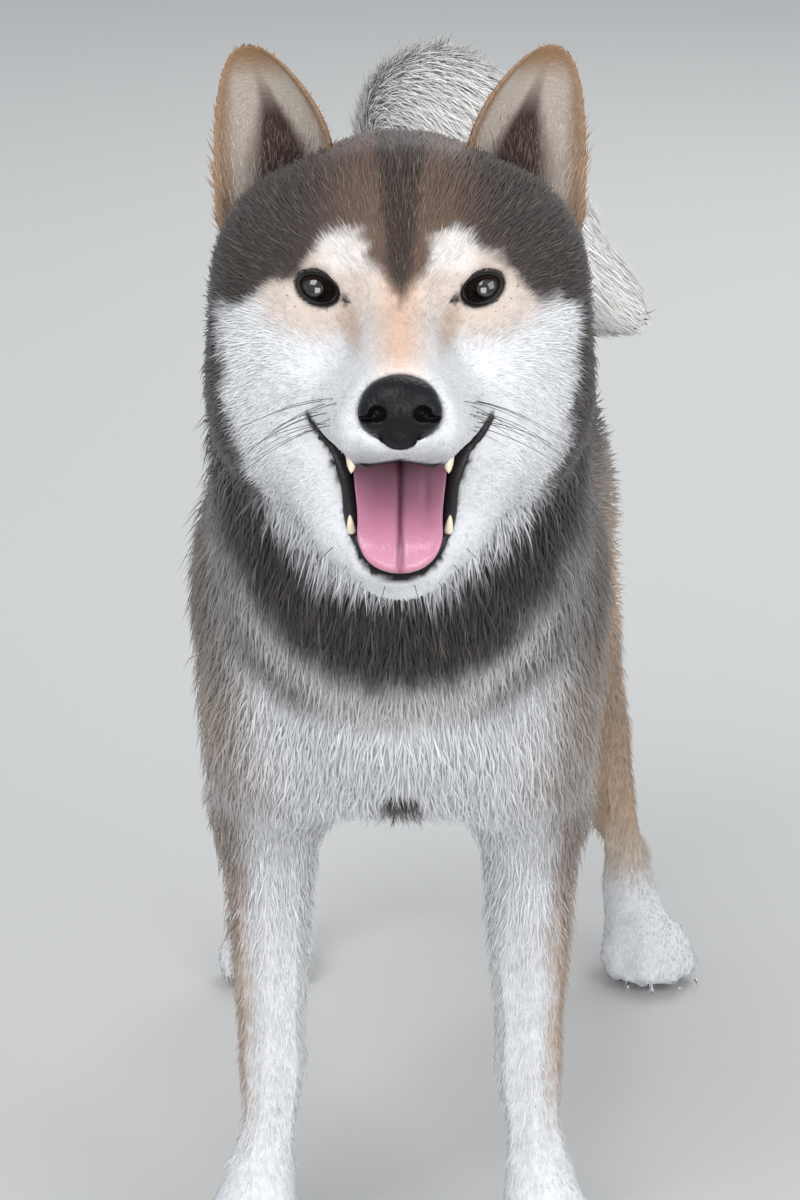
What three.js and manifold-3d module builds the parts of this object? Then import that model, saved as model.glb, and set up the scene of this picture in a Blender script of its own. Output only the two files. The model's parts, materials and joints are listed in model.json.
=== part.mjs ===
// A standing shiba inu, life size: a still model that faces -Y, with +Z up and its left side on +X.
// Lengths are millimetres. Forms are blended masses of muscle and coat, out to the tips of the short coat.
import * as THREE from 'three';
import { mergeVertices } from 'three/addons/utils/BufferGeometryUtils.js';
import Module from 'manifold-3d';

const wasm = await Module();
wasm.setup();

// Driving dimensions
const WITHERS = 395;
const CHEST_DEPTH = 0.5 * WITHERS;
const CHEST_FLOOR = WITHERS - CHEST_DEPTH;
const ELBOW = 0.52 * WITHERS;
const EYE_HEIGHT = 1.19 * WITHERS;
const EYE_FORWARD = 0.38 * WITHERS;
const HEAD_TILT = THREE.MathUtils.degToRad(9);
const EYE_SPREAD = 31;
const EYE_RADIUS = 10.5;
const MUZZLE = 78;
const FORE_STANCE = 62;
const HIND_STANCE = { left: 98, right: 84 };
const REAR_SHIFT = 22;
const FORE_LINE = -8;
const HIND_LINE = 318;
const GAP = 0.3;
const SIDES = [['left', 1], ['right', -1]];

const vec = (x, y, z) => new THREE.Vector3(x, y, z);
const mirror = (p, side) => [p[0] * side, p[1], p[2]];

// Distance to a ball with three radii, tipped about X by an angle in degrees.
function ball(at, radii, tip = 0) {
  const c = Math.cos(THREE.MathUtils.degToRad(tip));
  const s = Math.sin(THREE.MathUtils.degToRad(tip));
  const [rx, ry, rz] = radii;
  return (x, y, z) => {
    const u = x - at[0];
    const v = (y - at[1]) * c + (z - at[2]) * s;
    const w = (z - at[2]) * c - (y - at[1]) * s;
    const near = Math.hypot(u / rx, v / ry, w / rz);
    const far = Math.hypot(u / rx / rx, v / ry / ry, w / rz / rz);
    return far < 1e-9 ? -Math.min(rx, ry, rz) : near * (near - 1) / far;
  };
}

// Distance to a limb that tapers between two points, widened or narrowed across X.
function limb(from, to, r0, r1, wide = 1) {
  const axis = [to[0] - from[0], to[1] - from[1], to[2] - from[2]];
  const length2 = axis[0] ** 2 + axis[1] ** 2 + axis[2] ** 2;
  return (x, y, z) => {
    const v = y - from[1];
    const w = z - from[2];
    const u = x - from[0];
    const t = THREE.MathUtils.clamp((u * axis[0] + v * axis[1] + w * axis[2]) / length2, 0, 1);
    const off = Math.hypot((u - t * axis[0]) / wide, v - t * axis[1], w - t * axis[2]);
    return off - (r0 + (r1 - r0) * t);
  };
}

// Smooth union of [form, blend] pairs.
function blend(masses) {
  return (x, y, z) => {
    let d = 1e3;
    for (const [form, soft] of masses) {
      const e = form(x, y, z);
      const h = Math.max(soft - Math.abs(d - e), 0) / soft;
      d = Math.min(d, e) - h * h * soft * 0.25;
    }
    return d;
  };
}

const bothSides = (make) => SIDES.flatMap(([, side]) => make(side));

// The trunk: it sways to the left towards the rear, as the dog stands slightly turned.
const HIP_HEIGHT = 0.76 * WITHERS;
const BACK = HIP_HEIGHT + 14;
const trunk = [
  [ball([0, -42, CHEST_FLOOR + 88], [62, 50, 66]), 30],
  [ball([3, 66, CHEST_FLOOR + 92], [74, 148, 97], 4), 30],
  [ball([0, 12, WITHERS - 47], [46, 76, 44]), 30],
  [limb([10, 120, BACK + 2], [REAR_SHIFT, 236, BACK + 2], 69, 62, 0.96), 30],
  [ball([REAR_SHIFT, 272, BACK], [64, 72, 64]), 30],
  ...bothSides((s) => [
    [ball([s * 50, -10, CHEST_FLOOR + 92], [37, 54, 84], -14), 26],
    [limb([s * 52, -40, CHEST_FLOOR + 62], [s * 57, 10, ELBOW + 6], 30, 26), 22],
  ]),
];

// The neck and its thick ruff, up to the back of the skull
const neckMasses = [
  [limb([0, -14, 322], [0, -92, 428], 84, 68, 0.98), 30],
  [ball([0, -62, 330], [74, 58, 66]), 30],
  ...bothSides((s) => [[ball([s * 30, -96, 372], [46, 46, 58]), 26]]),
];

// Forelegs, turned out a little at the feet
const CARPUS = 80;
const foreMasses = (s) => [
  [limb([s * 57, 8, ELBOW + 4], [s * 55.5, 4, CARPUS], 26, 15), 18],
  [ball([s * 61, 20, ELBOW - 6], [17, 17, 22]), 14],
  [ball([s * 55.5, 3, CARPUS], [15.4, 16.4, 15]), 8],
  [limb([s * 55.5, 4, CARPUS], [s * FORE_STANCE, -8, 28], 14.5, 16.5), 8],
];

// Hind legs: thigh, second thigh, hock and rear pastern
const HOCK = 118;
function hindMasses(s, stance) {
  const hock = REAR_SHIFT + s * (stance - 18);
  const foot = REAR_SHIFT + s * (stance - 2);
  return [
    [ball([REAR_SHIFT + s * 40, 268, 288], [32, 68, 68], 12), 22],
    [limb([REAR_SHIFT + s * 51, 250, 264], [REAR_SHIFT + s * 58, 242, 212], 50, 34, 0.7), 20],
    [limb([REAR_SHIFT + s * 58, 248, 214], [hock, 328, HOCK + 8], 35, 17.5, 0.78), 18],
    [limb([hock, 334, HOCK], [hock, 345, HOCK + 8], 13.5, 11), 10],
    [limb([hock, 334, HOCK], [foot, 326, 30], 15, 15), 10],
  ];
}

// One paw: pad, four arched toes, in the paw's own frame with the toes towards -Y
const TOES = [[-17, -17, 8.6], [-6.4, -27, 9.2], [6.4, -27, 9.2], [17, -17, 8.6]];
const pawMasses = [
  [ball([0, -4, 17], [18, 22, 17]), 8],
  ...TOES.flatMap(([across, reach, r]) => [
    [limb([across * 0.8, -8, 19], [across, reach, 13], r, r), 5],
    [ball([across * 1.03, reach - 7, 8.5], [r * 0.86, r * 0.9, r * 0.86]), 4],
  ]),
];
const FORE_SPLAY = THREE.MathUtils.degToRad(13);
const HIND_SPLAY = THREE.MathUtils.degToRad(16);

// A paw's masses carried to where it stands
function standingPaw(x, y, turn) {
  const paw = blend(pawMasses);
  const c = Math.cos(turn);
  const s = Math.sin(turn);
  return (px, py, pz) => paw((px - x) * c + (py - y) * s, (py - y) * c - (px - x) * s, pz);
}

// Where each leg stands: [name, side, x, y, toe turn, masses]
const LEGS = SIDES.flatMap(([name, s]) => [
  { kind: 'fore', name, s, x: s * (FORE_STANCE + 1), y: FORE_LINE, turn: s * FORE_SPLAY, masses: foreMasses(s) },
  {
    kind: 'hind',
    name,
    s,
    x: REAR_SHIFT + s * HIND_STANCE[name],
    y: HIND_LINE,
    turn: s * HIND_SPLAY,
    masses: hindMasses(s, HIND_STANCE[name]),
  },
]);
const legField = (leg) => blend([...leg.masses, [standingPaw(leg.x, leg.y, leg.turn), 7]]);

// The head, in its own frame: origin midway between the corneas, -Y to the nose, palate level.
const headMasses = [
  [ball([0, 50, 9], [54, 62, 46]), 1],
  [limb([0, 22, 33], [0, 62, 34], 19, 20, 1.6), 16],
  [limb([0, 2, -33], [0, -MUZZLE + 19, -41], 27, 18.5), 16],
  [limb([0, 8, -8], [0, -MUZZLE + 17, -31], 16, 10.5), 16],
  [ball([0, 4, 6], [20, 18, 18]), 16],
  ...bothSides((s) => [
    [ball([s * 19, 20, 24], [24, 25, 20]), 16],
    [ball([s * 45, 40, 6], [28, 38, 34]), 18],
    [ball([s * 45, 42, -26], [30, 37, 38]), 18],
    [ball([s * 34, 10, -32], [21, 28, 22]), 14],
    [ball([s * 43, 24, -46], [27, 30, 34]), 16],
    [ball([s * 41, 62, -58], [30, 38, 38]), 20],
    [limb([s * 22, -10, -42], [s * 12.5, -MUZZLE + 16, -46.5], 14, 11.5), 9],
    [ball([s * 29, 9, 12], [16, 12, 9]), 9],
    [ball([s * (EYE_SPREAD - 0.5), 10, 0], [13.5, 12.3, 12.3]), 5],
  ]),
];
const jawMasses = [
  [limb([0, 30, -80], [0, -36, -101], 26, 12.5), 10],
  ...bothSides((s) => [
    [limb([s * 28, 30, -66], [s * 9, -40, -99], 21, 10), 10],
    [limb([s * 35, 4, -60], [s * 20, -20, -86], 17, 12.5), 14],
  ]),
];
const headPlace = vec(0, -EYE_FORWARD, EYE_HEIGHT);
const headMatrix = new THREE.Matrix4().makeRotationX(-HEAD_TILT).setPosition(headPlace);
const headInverse = headMatrix.clone().invert();

const trunkField = blend([...trunk, ...neckMasses, ...LEGS.flatMap((leg) => leg.masses)]);
const skullField = blend(headMasses);
const jawField = blend(jawMasses);

// The whole body in the standing frame, as one form
function bodyField(x, y, z) {
  const p = vec(x, y, z).applyMatrix4(headInverse);
  const skull = skullField(p.x, p.y, p.z);
  const jaw = jawField(p.x, p.y, p.z);
  const trunkHere = trunkField(x, y, z);
  const smooth = (a, b, soft) => {
    const h = Math.max(soft - Math.abs(a - b), 0) / soft;
    return Math.min(a, b) - h * h * soft * 0.25;
  };
  return smooth(smooth(skull, jaw, 12), trunkHere, 24);
}

// Marks from low to high, with a step that may change along the way.
function ruler(low, high, stepAt) {
  const marks = [low];
  while (marks.at(-1) < high) marks.push(marks.at(-1) + stepAt(marks.at(-1)));
  return marks;
}

// Cell edges as pairs of corners; a corner's bits are its x, y and z offsets.
const EDGES = [];
for (let axis = 0; axis < 3; axis++) {
  for (let bits = 0; bits < 4; bits++) {
    const from = ((bits & 1) << (axis + 1) % 3) | ((bits >> 1) << (axis + 2) % 3);
    EDGES.push([from, from | (1 << axis)]);
  }
}
const edgeOf = (a, b) => EDGES.findIndex(([p, q]) => (p === a && q === b) || (p === b && q === a));
const FACES = [];
for (let axis = 0; axis < 3; axis++) {
  for (let far = 0; far < 2; far++) {
    const u = 1 << (axis + 1) % 3;
    const w = 1 << (axis + 2) % 3;
    const base = far << axis;
    FACES.push([base, base | u, base | u | w, base | w]);
  }
}

// Which patch of surface each crossed edge of a cell belongs to, for one pattern of inside corners.
const patchCache = new Map();
function patchesOf(mask) {
  if (patchCache.has(mask)) return patchCache.get(mask);
  const inside = (c) => (mask >> c) & 1;
  const patch = EDGES.map(([a, b], i) => (inside(a) === inside(b) ? -1 : i));
  const join = (i, j) => {
    const [keep, drop] = [Math.min(patch[i], patch[j]), Math.max(patch[i], patch[j])];
    patch.forEach((p, n) => { if (p === drop) patch[n] = keep; });
  };
  for (const face of FACES) {
    const round = face.map((c, n) => edgeOf(c, face[(n + 1) % 4]));
    const crossed = round.filter((e) => patch[e] >= 0);
    if (crossed.length === 2) join(crossed[0], crossed[1]);
    if (crossed.length === 4) {
      face.forEach((c, n) => { if (inside(c)) join(round[n], round[(n + 3) % 4]); });
    }
  }
  patchCache.set(mask, patch);
  return patch;
}

// Moves a point on to the surface of a field by a few short Newton steps.
function settle(field, p, reach) {
  const e = 0.2;
  for (let turn = 0; turn < 3; turn++) {
    const d = field(p[0], p[1], p[2]);
    const g = [
      (field(p[0] + e, p[1], p[2]) - field(p[0] - e, p[1], p[2])) / (2 * e),
      (field(p[0], p[1] + e, p[2]) - field(p[0], p[1] - e, p[2])) / (2 * e),
      (field(p[0], p[1], p[2] + e) - field(p[0], p[1], p[2] - e)) / (2 * e),
    ];
    const size = g[0] ** 2 + g[1] ** 2 + g[2] ** 2;
    if (size < 1e-6) return;
    const step = THREE.MathUtils.clamp(d / Math.sqrt(size), -reach, reach);
    for (let n = 0; n < 3; n++) p[n] -= step * g[n] / Math.sqrt(size);
  }
}

// The surface of a form on a grid, as a manifold: one vertex for each patch in a cell, quads across edges.
// What runs out of the grid is closed by a flat wall.
function surfaceOf(form, xs, ys, zs) {
  const rulers = [xs, ys, zs];
  const count = rulers.map((r) => r.length);
  const stride = [1, count[0], count[0] * count[1]];
  const low = rulers.map((r) => 0.5 * (r[0] + r[1]));
  const high = rulers.map((r) => 0.5 * (r.at(-1) + r.at(-2)));
  const held = (x, y, z) => Math.max(
    form(x, y, z),
    low[0] - x, low[1] - y, low[2] - z,
    x - high[0], y - high[1], z - high[2],
  );
  const value = new Float32Array(count[0] * count[1] * count[2]);
  for (let k = 0, n = 0; k < count[2]; k++) {
    for (let j = 0; j < count[1]; j++) {
      for (let i = 0; i < count[0]; i++, n++) value[n] = held(xs[i], ys[j], zs[k]);
    }
  }
  const places = [];
  const cells = new Map();
  for (let k = 0; k + 1 < count[2]; k++) {
    for (let j = 0; j + 1 < count[1]; j++) {
      for (let i = 0; i + 1 < count[0]; i++) {
        const cell = i + j * stride[1] + k * stride[2];
        const corner = (c) => cell + (c & 1) + ((c >> 1) & 1) * stride[1] + (c >> 2) * stride[2];
        let mask = 0;
        for (let c = 0; c < 8; c++) if (value[corner(c)] < 0) mask |= 1 << c;
        if (mask === 0 || mask === 255) continue;
        const patch = patchesOf(mask);
        const vertexOf = {};
        for (const id of new Set(patch.filter((p) => p >= 0))) {
          const sum = [0, 0, 0, 0];
          EDGES.forEach(([a, b], n) => {
            if (patch[n] !== id) return;
            const t = value[corner(a)] / (value[corner(a)] - value[corner(b)]);
            const at = (c) => [xs[i + (c & 1)], ys[j + ((c >> 1) & 1)], zs[k + (c >> 2)]];
            const [p, q] = [at(a), at(b)];
            for (let m = 0; m < 3; m++) sum[m] += p[m] + (q[m] - p[m]) * t;
            sum[3] += 1;
          });
          vertexOf[id] = places.length;
          const reach = 0.35 * Math.min(xs[i + 1] - xs[i], ys[j + 1] - ys[j], zs[k + 1] - zs[k]);
          const place = [sum[0] / sum[3], sum[1] / sum[3], sum[2] / sum[3]];
          settle(held, place, reach);
          places.push(place);
        }
        cells.set(cell, patch.map((p) => (p < 0 ? -1 : vertexOf[p])));
      }
    }
  }
  const triangles = [];
  const far = (a, b) => Math.hypot(...places[a].map((v, n) => v - places[b][n]));
  for (let k = 0; k + 1 < count[2]; k++) {
    for (let j = 0; j + 1 < count[1]; j++) {
      for (let i = 0; i + 1 < count[0]; i++) {
        const at = i + j * stride[1] + k * stride[2];
        for (let axis = 0; axis < 3; axis++) {
          const lowIn = value[at] < 0;
          if (lowIn === (value[at + stride[axis]] < 0)) continue;
          const su = stride[(axis + 1) % 3];
          const sw = stride[(axis + 2) % 3];
          const round = [[1, 1], [0, 1], [0, 0], [1, 0]].map(([bu, bw]) => (
            cells.get(at - bu * su - bw * sw)[axis * 4 + bu + 2 * bw]));
          if (!lowIn) round.reverse();
          const [a, b, c, d] = round;
          if (far(a, c) < far(b, d)) triangles.push(a, b, c, a, c, d);
          else triangles.push(a, b, d, b, c, d);
        }
      }
    }
  }
  return new wasm.Manifold(new wasm.Mesh({
    numProp: 3,
    vertProperties: new Float32Array(places.flat()),
    triVerts: new Uint32Array(triangles),
  }));
}

// A manifold from a closed three.js geometry, and the geometry of a manifold.
function solidOf(geometry, matrix) {
  const g = geometry.clone();
  if (matrix) g.applyMatrix4(matrix);
  g.deleteAttribute('normal');
  g.deleteAttribute('uv');
  const merged = mergeVertices(g, 1e-4);
  return new wasm.Manifold(new wasm.Mesh({
    numProp: 3,
    vertProperties: merged.attributes.position.array,
    triVerts: new Uint32Array(merged.index.array),
  }));
}

function geometryOf(solid) {
  const mesh = solid.getMesh();
  const positions = new Float32Array(mesh.numVert * 3);
  for (let n = 0; n < mesh.numVert; n++) {
    positions.set(mesh.vertProperties.subarray(n * mesh.numProp, n * mesh.numProp + 3), n * 3);
  }
  const g = new THREE.BufferGeometry();
  g.setAttribute('position', new THREE.BufferAttribute(positions, 3));
  g.setIndex(new THREE.BufferAttribute(mesh.triVerts, 1));
  g.computeVertexNormals();
  return g;
}

const largest = (solid) => solid.decompose().reduce((a, b) => (a.volume() > b.volume() ? a : b));

// A closed skin over rings of points, each ring with the same count; both ends are capped.
function loft(rings) {
  const size = rings[0].length;
  const positions = rings.flat().flatMap((p) => [p.x, p.y, p.z]);
  const index = [];
  for (let r = 0; r + 1 < rings.length; r++) {
    for (let n = 0; n < size; n++) {
      const [a, b] = [r * size + n, r * size + (n + 1) % size];
      const [c, d] = [a + size, b + size];
      index.push(a, b, d, a, d, c);
    }
  }
  for (const [ring, flip] of [[0, true], [rings.length - 1, false]]) {
    const middle = rings[ring].reduce((sum, p) => sum.add(p), vec(0, 0, 0)).divideScalar(size);
    positions.push(middle.x, middle.y, middle.z);
    const centre = positions.length / 3 - 1;
    for (let n = 0; n < size; n++) {
      const [a, b] = [ring * size + n, ring * size + (n + 1) % size];
      index.push(...(flip ? [b, a, centre] : [a, b, centre]));
    }
  }
  const g = new THREE.BufferGeometry();
  g.setAttribute('position', new THREE.BufferAttribute(new Float32Array(positions), 3));
  g.setIndex(index);
  const solid = solidOf(g);
  if (solid.volume() > 0) return solid;
  const turned = [];
  for (let n = 0; n < index.length; n += 3) turned.push(index[n], index[n + 2], index[n + 1]);
  g.setIndex(turned);
  return solidOf(g);
}

// Rings round a path: section(t) gives [half width, half depth], with up as the depth direction.
function sweep(points, steps, sides, section, up) {
  const path = new THREE.CatmullRomCurve3(points.map((p) => vec(...p)));
  const rings = [];
  for (let n = 0; n <= steps; n++) {
    const t = n / steps;
    const at = path.getPoint(t);
    const along = path.getTangent(t);
    const across = vec(0, 0, 0).crossVectors(along, up(t)).normalize();
    const deep = vec(0, 0, 0).crossVectors(across, along).normalize();
    const [wide, thick] = section(t);
    const ring = [];
    for (let m = 0; m < sides; m++) {
      const a = 2 * Math.PI * m / sides;
      ring.push(at.clone().addScaledVector(across, wide * Math.cos(a)).addScaledVector(deep, thick * Math.sin(a)));
    }
    rings.push(ring);
  }
  return loft(rings);
}

// A lock of long coat: flat, bent outwards along its lie and tapered, with its root sunk in.
function lock(root, out, lie, length, wide, thick, lift) {
  const points = [
    root.clone().addScaledVector(out, -5).addScaledVector(lie, -0.08 * length),
    root.clone().addScaledVector(out, 0.5 * lift).addScaledVector(lie, 0.22 * length),
    root.clone().addScaledVector(out, 1.05 * lift).addScaledVector(lie, 0.62 * length),
    root.clone().addScaledVector(out, lift).addScaledVector(lie, length),
  ];
  const taper = (t) => Math.max(0.1, Math.min(1, 0.75 + t) * (1 - t ** 2.2));
  return sweep(points.map((p) => p.toArray()), 4, 4, (t) => [wide * taper(t), thick * taper(t)], () => out);
}

// The outward direction of a form at a point
function outward(field, p) {
  const e = 0.5;
  return vec(
    field(p.x + e, p.y, p.z) - field(p.x - e, p.y, p.z),
    field(p.x, p.y + e, p.z) - field(p.x, p.y - e, p.z),
    field(p.x, p.y, p.z + e) - field(p.x, p.y, p.z - e),
  ).normalize();
}

// Where a ray from inside a form leaves it
function leaving(field, from, way) {
  let [low, high] = [0, 260];
  for (let turn = 0; turn < 22; turn++) {
    const middle = (low + high) / 2;
    const p = from.clone().addScaledVector(way, middle);
    if (field(p.x, p.y, p.z) < 0) low = middle;
    else high = middle;
  }
  return from.clone().addScaledVector(way, low);
}

// Locks rooted on a form where rays leave it, each lying along the surface
function coatLocks(field, roots, lie, [length, wide, thick, lift], seed) {
  const draw = draws(seed);
  return roots.map(([from, way]) => {
    const at = leaving(field, from, way.normalize());
    const out = outward(field, at);
    const lay = lie(at).clone().addScaledVector(vec(draw(), draw(), draw()), 0.16);
    lay.addScaledVector(out, -lay.dot(out)).normalize();
    const size = 1 + 0.16 * draw();
    return lock(at, out, lay, length * size, wide * (1 + 0.12 * draw()), thick, lift);
  });
}

// Repeatable draws between -1 and 1.
function draws(seed) {
  let state = seed;
  return () => {
    state = (state * 1664525 + 1013904223) % 4294967296;
    return state / 2147483648 - 1;
  };
}

// Ears: a leaf with a deep cup that faces forward, lofted from its root to a rounded tip.
const EAR_ROOT = [47.5, 46, 16];
const EAR_TIP = [57, 40, 90.5];
const EAR_WIDE = 27.5;
const EAR_TURN = 0.42;
const EAR_SEAT = 9;
function earSolid(side) {
  const root = vec(...EAR_ROOT);
  const tip = vec(...EAR_TIP);
  const rings = [];
  const steps = 11;
  const arc = 7;
  for (let n = 0; n <= steps; n++) {
    const t = 1 - (1 - n / steps) ** 1.5;
    const at = root.clone().lerp(tip, t);
    at.y += 8 * Math.sin(Math.PI * t) * (1 - t);
    const wide = EAR_WIDE * Math.sqrt(Math.max(0.012, 1 - t ** 2.4)) * (0.95 + 0.05 * Math.sin(Math.PI * t));
    const deep = wide * (0.78 - 0.28 * t);
    const thick = 3.6 - 1.6 * t;
    const across = vec(Math.cos(EAR_TURN), Math.sin(EAR_TURN), -0.3 * (1 - t)).normalize();
    const back = vec(-Math.sin(EAR_TURN), Math.cos(EAR_TURN), 0);
    const lean = -3.5 * Math.sin(Math.PI * t) + 1.5;
    const place = (u, w) => at.clone().addScaledVector(across, u + lean).addScaledVector(back, w);
    const ring = [];
    for (let m = 0; m <= arc; m++) {
      const a = Math.PI * m / arc;
      ring.push(place(wide * Math.cos(a), deep * Math.sin(a)));
    }
    for (let m = arc - 1; m >= 1; m--) {
      const a = Math.PI * m / arc;
      ring.push(place((wide - thick) * Math.cos(a), Math.max(deep - thick, deep * 0.35) * Math.sin(a) - 0.06));
    }
    rings.push(ring.map((p) => vec(p.x * side, p.y, p.z)));
  }
  const seat = vec(0, 2, -EAR_SEAT);
  rings.unshift(rings[0].map((p) => p.clone().add(seat)));
  return loft(rings);
}

// The nose leather with its nostrils
const NOSE = [0, -MUZZLE + 2, -37.5];
const noseMasses = [
  [ball([0, NOSE[1] + 4, NOSE[2] + 2], [14.6, 9, 10.6], 12), 1],
  [ball([0, NOSE[1] + 5, NOSE[2] - 6], [8.5, 6.8, 8.5]), 5],
  ...bothSides((s) => [[ball([s * 8.6, NOSE[1] + 2.6, NOSE[2] - 0.5], [6.9, 6.6, 7.8]), 3]]),
];
const nostrils = (s) => [
  ball([s * 8.2, NOSE[1] - 4, NOSE[2] - 0.8], [3.7, 6.5, 3.3]),
  limb([s * 9.6, NOSE[1] - 3, NOSE[2] - 1.4], [s * 16, NOSE[1] + 3, NOSE[2] - 4.4], 1.9, 1.3),
];
const noseBlend = blend(noseMasses);
const nostrilForms = bothSides(nostrils);
function noseField(x, y, z) {
  const hollow = Math.min(...nostrilForms.map((form) => form(x, y, z)));
  const groove = Math.hypot(x, Math.max(0, y - NOSE[1] + 5.4), Math.max(0, z - NOSE[2] + 3)) - 1.1;
  return Math.max(noseBlend(x, y, z), -hollow, -groove);
}

// The open mouth as seen from the front, right half, and how it narrows towards the throat
const MOUTH = [
  [0, -55.5], [12, -58], [22, -59], [29.5, -54.5], [36.5, -43],
  [31.5, -54], [25.6, -64], [20.4, -76], [18, -86], [13.8, -93], [8, -96.8], [0, -98],
];
const MOUTH_FRONT = -44;
const MOUTH_BACK = 14;
function mouthCutter() {
  const whole = [...MOUTH, ...MOUTH.slice(1, -1).reverse().map(([x, z]) => [-x, z])];
  const ring = (y) => {
    const t = (y - MOUTH_BACK) / (MOUTH_FRONT - MOUTH_BACK);
    return whole.map(([x, z]) => {
      const backX = x * 0.86;
      const backZ = -52 + (z + 52) * 0.34;
      return vec(backX + (x - backX) * t, y, backZ + (z - backZ) * t);
    });
  };
  return loft([ring(MOUTH_BACK), ring(MOUTH_FRONT), ring(-MUZZLE - 14)]);
}

// The almond between the lids, drawn round the eye and swept forward
function eyeOpening(side, grow) {
  const shape = new THREE.Shape();
  shape.moveTo(-10.4 - grow, -3.4);
  shape.quadraticCurveTo(-4, 9.6 + grow, 4, 6.6 + grow);
  shape.quadraticCurveTo(8, 5.4, 10 + grow, 3);
  shape.quadraticCurveTo(7, -8.4 - grow, -2, -7.6 - grow);
  shape.quadraticCurveTo(-7, -6.8, -10.4 - grow, -3.4);
  const g = new THREE.ExtrudeGeometry(shape, { depth: 30, bevelEnabled: false, curveSegments: 5 });
  const place = new THREE.Matrix4().makeRotationX(Math.PI / 2);
  const out = new THREE.Matrix4().makeRotationZ(0.2);
  g.applyMatrix4(place).applyMatrix4(out).translate(EYE_SPREAD - 1.8, 6, 1.4);
  const solid = solidOf(g);
  return side > 0 ? solid : solid.mirror([1, 0, 0]);
}

// Small cones for canines and claws
function spike(from, to, r0, r1) {
  return sweep([from, to], 3, 6, (t) => {
    const r = r0 + (r1 - r0) * t;
    return [r, r];
  }, () => vec(0.3, 0.9, 0.1));
}

const MATERIALS = {
  sesame: new THREE.MeshStandardMaterial({ color: 0x4d4646, roughness: 0.9, metalness: 0 }),
  cream: new THREE.MeshStandardMaterial({ color: 0xe4e0da, roughness: 0.9, metalness: 0 }),
  tan: new THREE.MeshStandardMaterial({ color: 0xb59a7c, roughness: 0.9, metalness: 0 }),
  leather: new THREE.MeshStandardMaterial({ color: 0x17171a, roughness: 0.4, metalness: 0 }),
  eye: new THREE.MeshStandardMaterial({ color: 0x1d120b, roughness: 0.08, metalness: 0 }),
  tongue: new THREE.MeshStandardMaterial({ color: 0xc9788a, roughness: 0.35, metalness: 0 }),
};

const dog = new THREE.Group();
const head = new THREE.Group();
head.position.copy(headPlace);
head.rotation.x = -HEAD_TILT;
dog.add(head);
function addNode(group, name, solid, material) {
  const mesh = new THREE.Mesh(geometryOf(largest(solid)), MATERIALS[material]);
  mesh.name = name;
  group.add(mesh);
}

// The body in the head's frame, so that the face is cut on an even grid
function bodyFromHead(x, y, z) {
  const p = vec(x, y, z).applyMatrix4(headMatrix);
  return bodyField(p.x, p.y, p.z);
}
const faceStep = (fine, coarse, isFine) => (v) => (isFine(v) ? fine : coarse);
const headXs = ruler(-98, 98, faceStep(7.8, 17, (x) => Math.abs(x) < 45));
const headYs = ruler(-90, 132, faceStep(7.8, 19, (y) => y < 14));
const headZs = ruler(-146, 68, faceStep(7.8, 16, (z) => z > -106 && z < 14));
const headWhole = surfaceOf(bodyFromHead, headXs, headYs, headZs);

// The cut behind the skull, in the head's frame: its front side is the head
const headCut = (shift) => {
  const g = new THREE.BoxGeometry(400, 400, 400).translate(0, 0, -200 - shift);
  const turn = new THREE.Matrix4().makeRotationX(THREE.MathUtils.degToRad(44));
  return solidOf(g, turn.setPosition(vec(0, 74, -42)));
};
// The block that holds the lower jaw: from the corner of the mouth it runs forwards between the lips
// and back down to the throat.
const jawCut = (shift) => {
  const side = new THREE.Shape();
  side.moveTo(-110, -200);
  side.lineTo(-110, -64);
  side.lineTo(-44, -62.5);
  side.lineTo(-20, -47);
  side.lineTo(70, -117);
  side.lineTo(70, -200);
  side.closePath();
  const g = new THREE.ExtrudeGeometry(side, { depth: 240, bevelEnabled: false });
  const turn = new THREE.Matrix4().makeBasis(vec(0, 1, 0), vec(0, 0, 1), vec(1, 0, 0));
  return solidOf(g, turn.setPosition(vec(-120, 0, -1.3 * shift)));
};

const eyeBall = (side, grow) => {
  const g = new THREE.IcosahedronGeometry(EYE_RADIUS + grow, 2);
  return solidOf(g.translate(side * EYE_SPREAD, EYE_RADIUS - 1, 0));
};
const noseGrid = (grow, step) => surfaceOf(
  (x, y, z) => (grow ? noseBlend(x, y, z) - grow : noseField(x, y, z)),
  ruler(-20, 20, () => step),
  ruler(NOSE[1] - 12, NOSE[1] + 20, () => step),
  ruler(NOSE[2] - 20, NOSE[2] + 18, () => step),
);
const noseSocket = noseGrid(0.5, 3);

// The tongue: over the lower teeth and down to the chin, with a rounded tip
const TONGUE = [[0, 6, -61], [0, -16, -66], [0, -38, -75], [0, -53, -84], [0, -58, -91], [0, -58, -96.5]];
function tongueSolid(grow) {
  const section = (t) => [
    17.2 * Math.sqrt(Math.max(0.03, 1 - Math.max(0, (t - 0.72) / 0.29) ** 2)) + grow,
    3.2 + grow,
  ];
  return sweep(TONGUE, 12, 12, section, () => vec(0, 0.5, -1));
}
const tongueRoom = tongueSolid(GAP);

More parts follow.
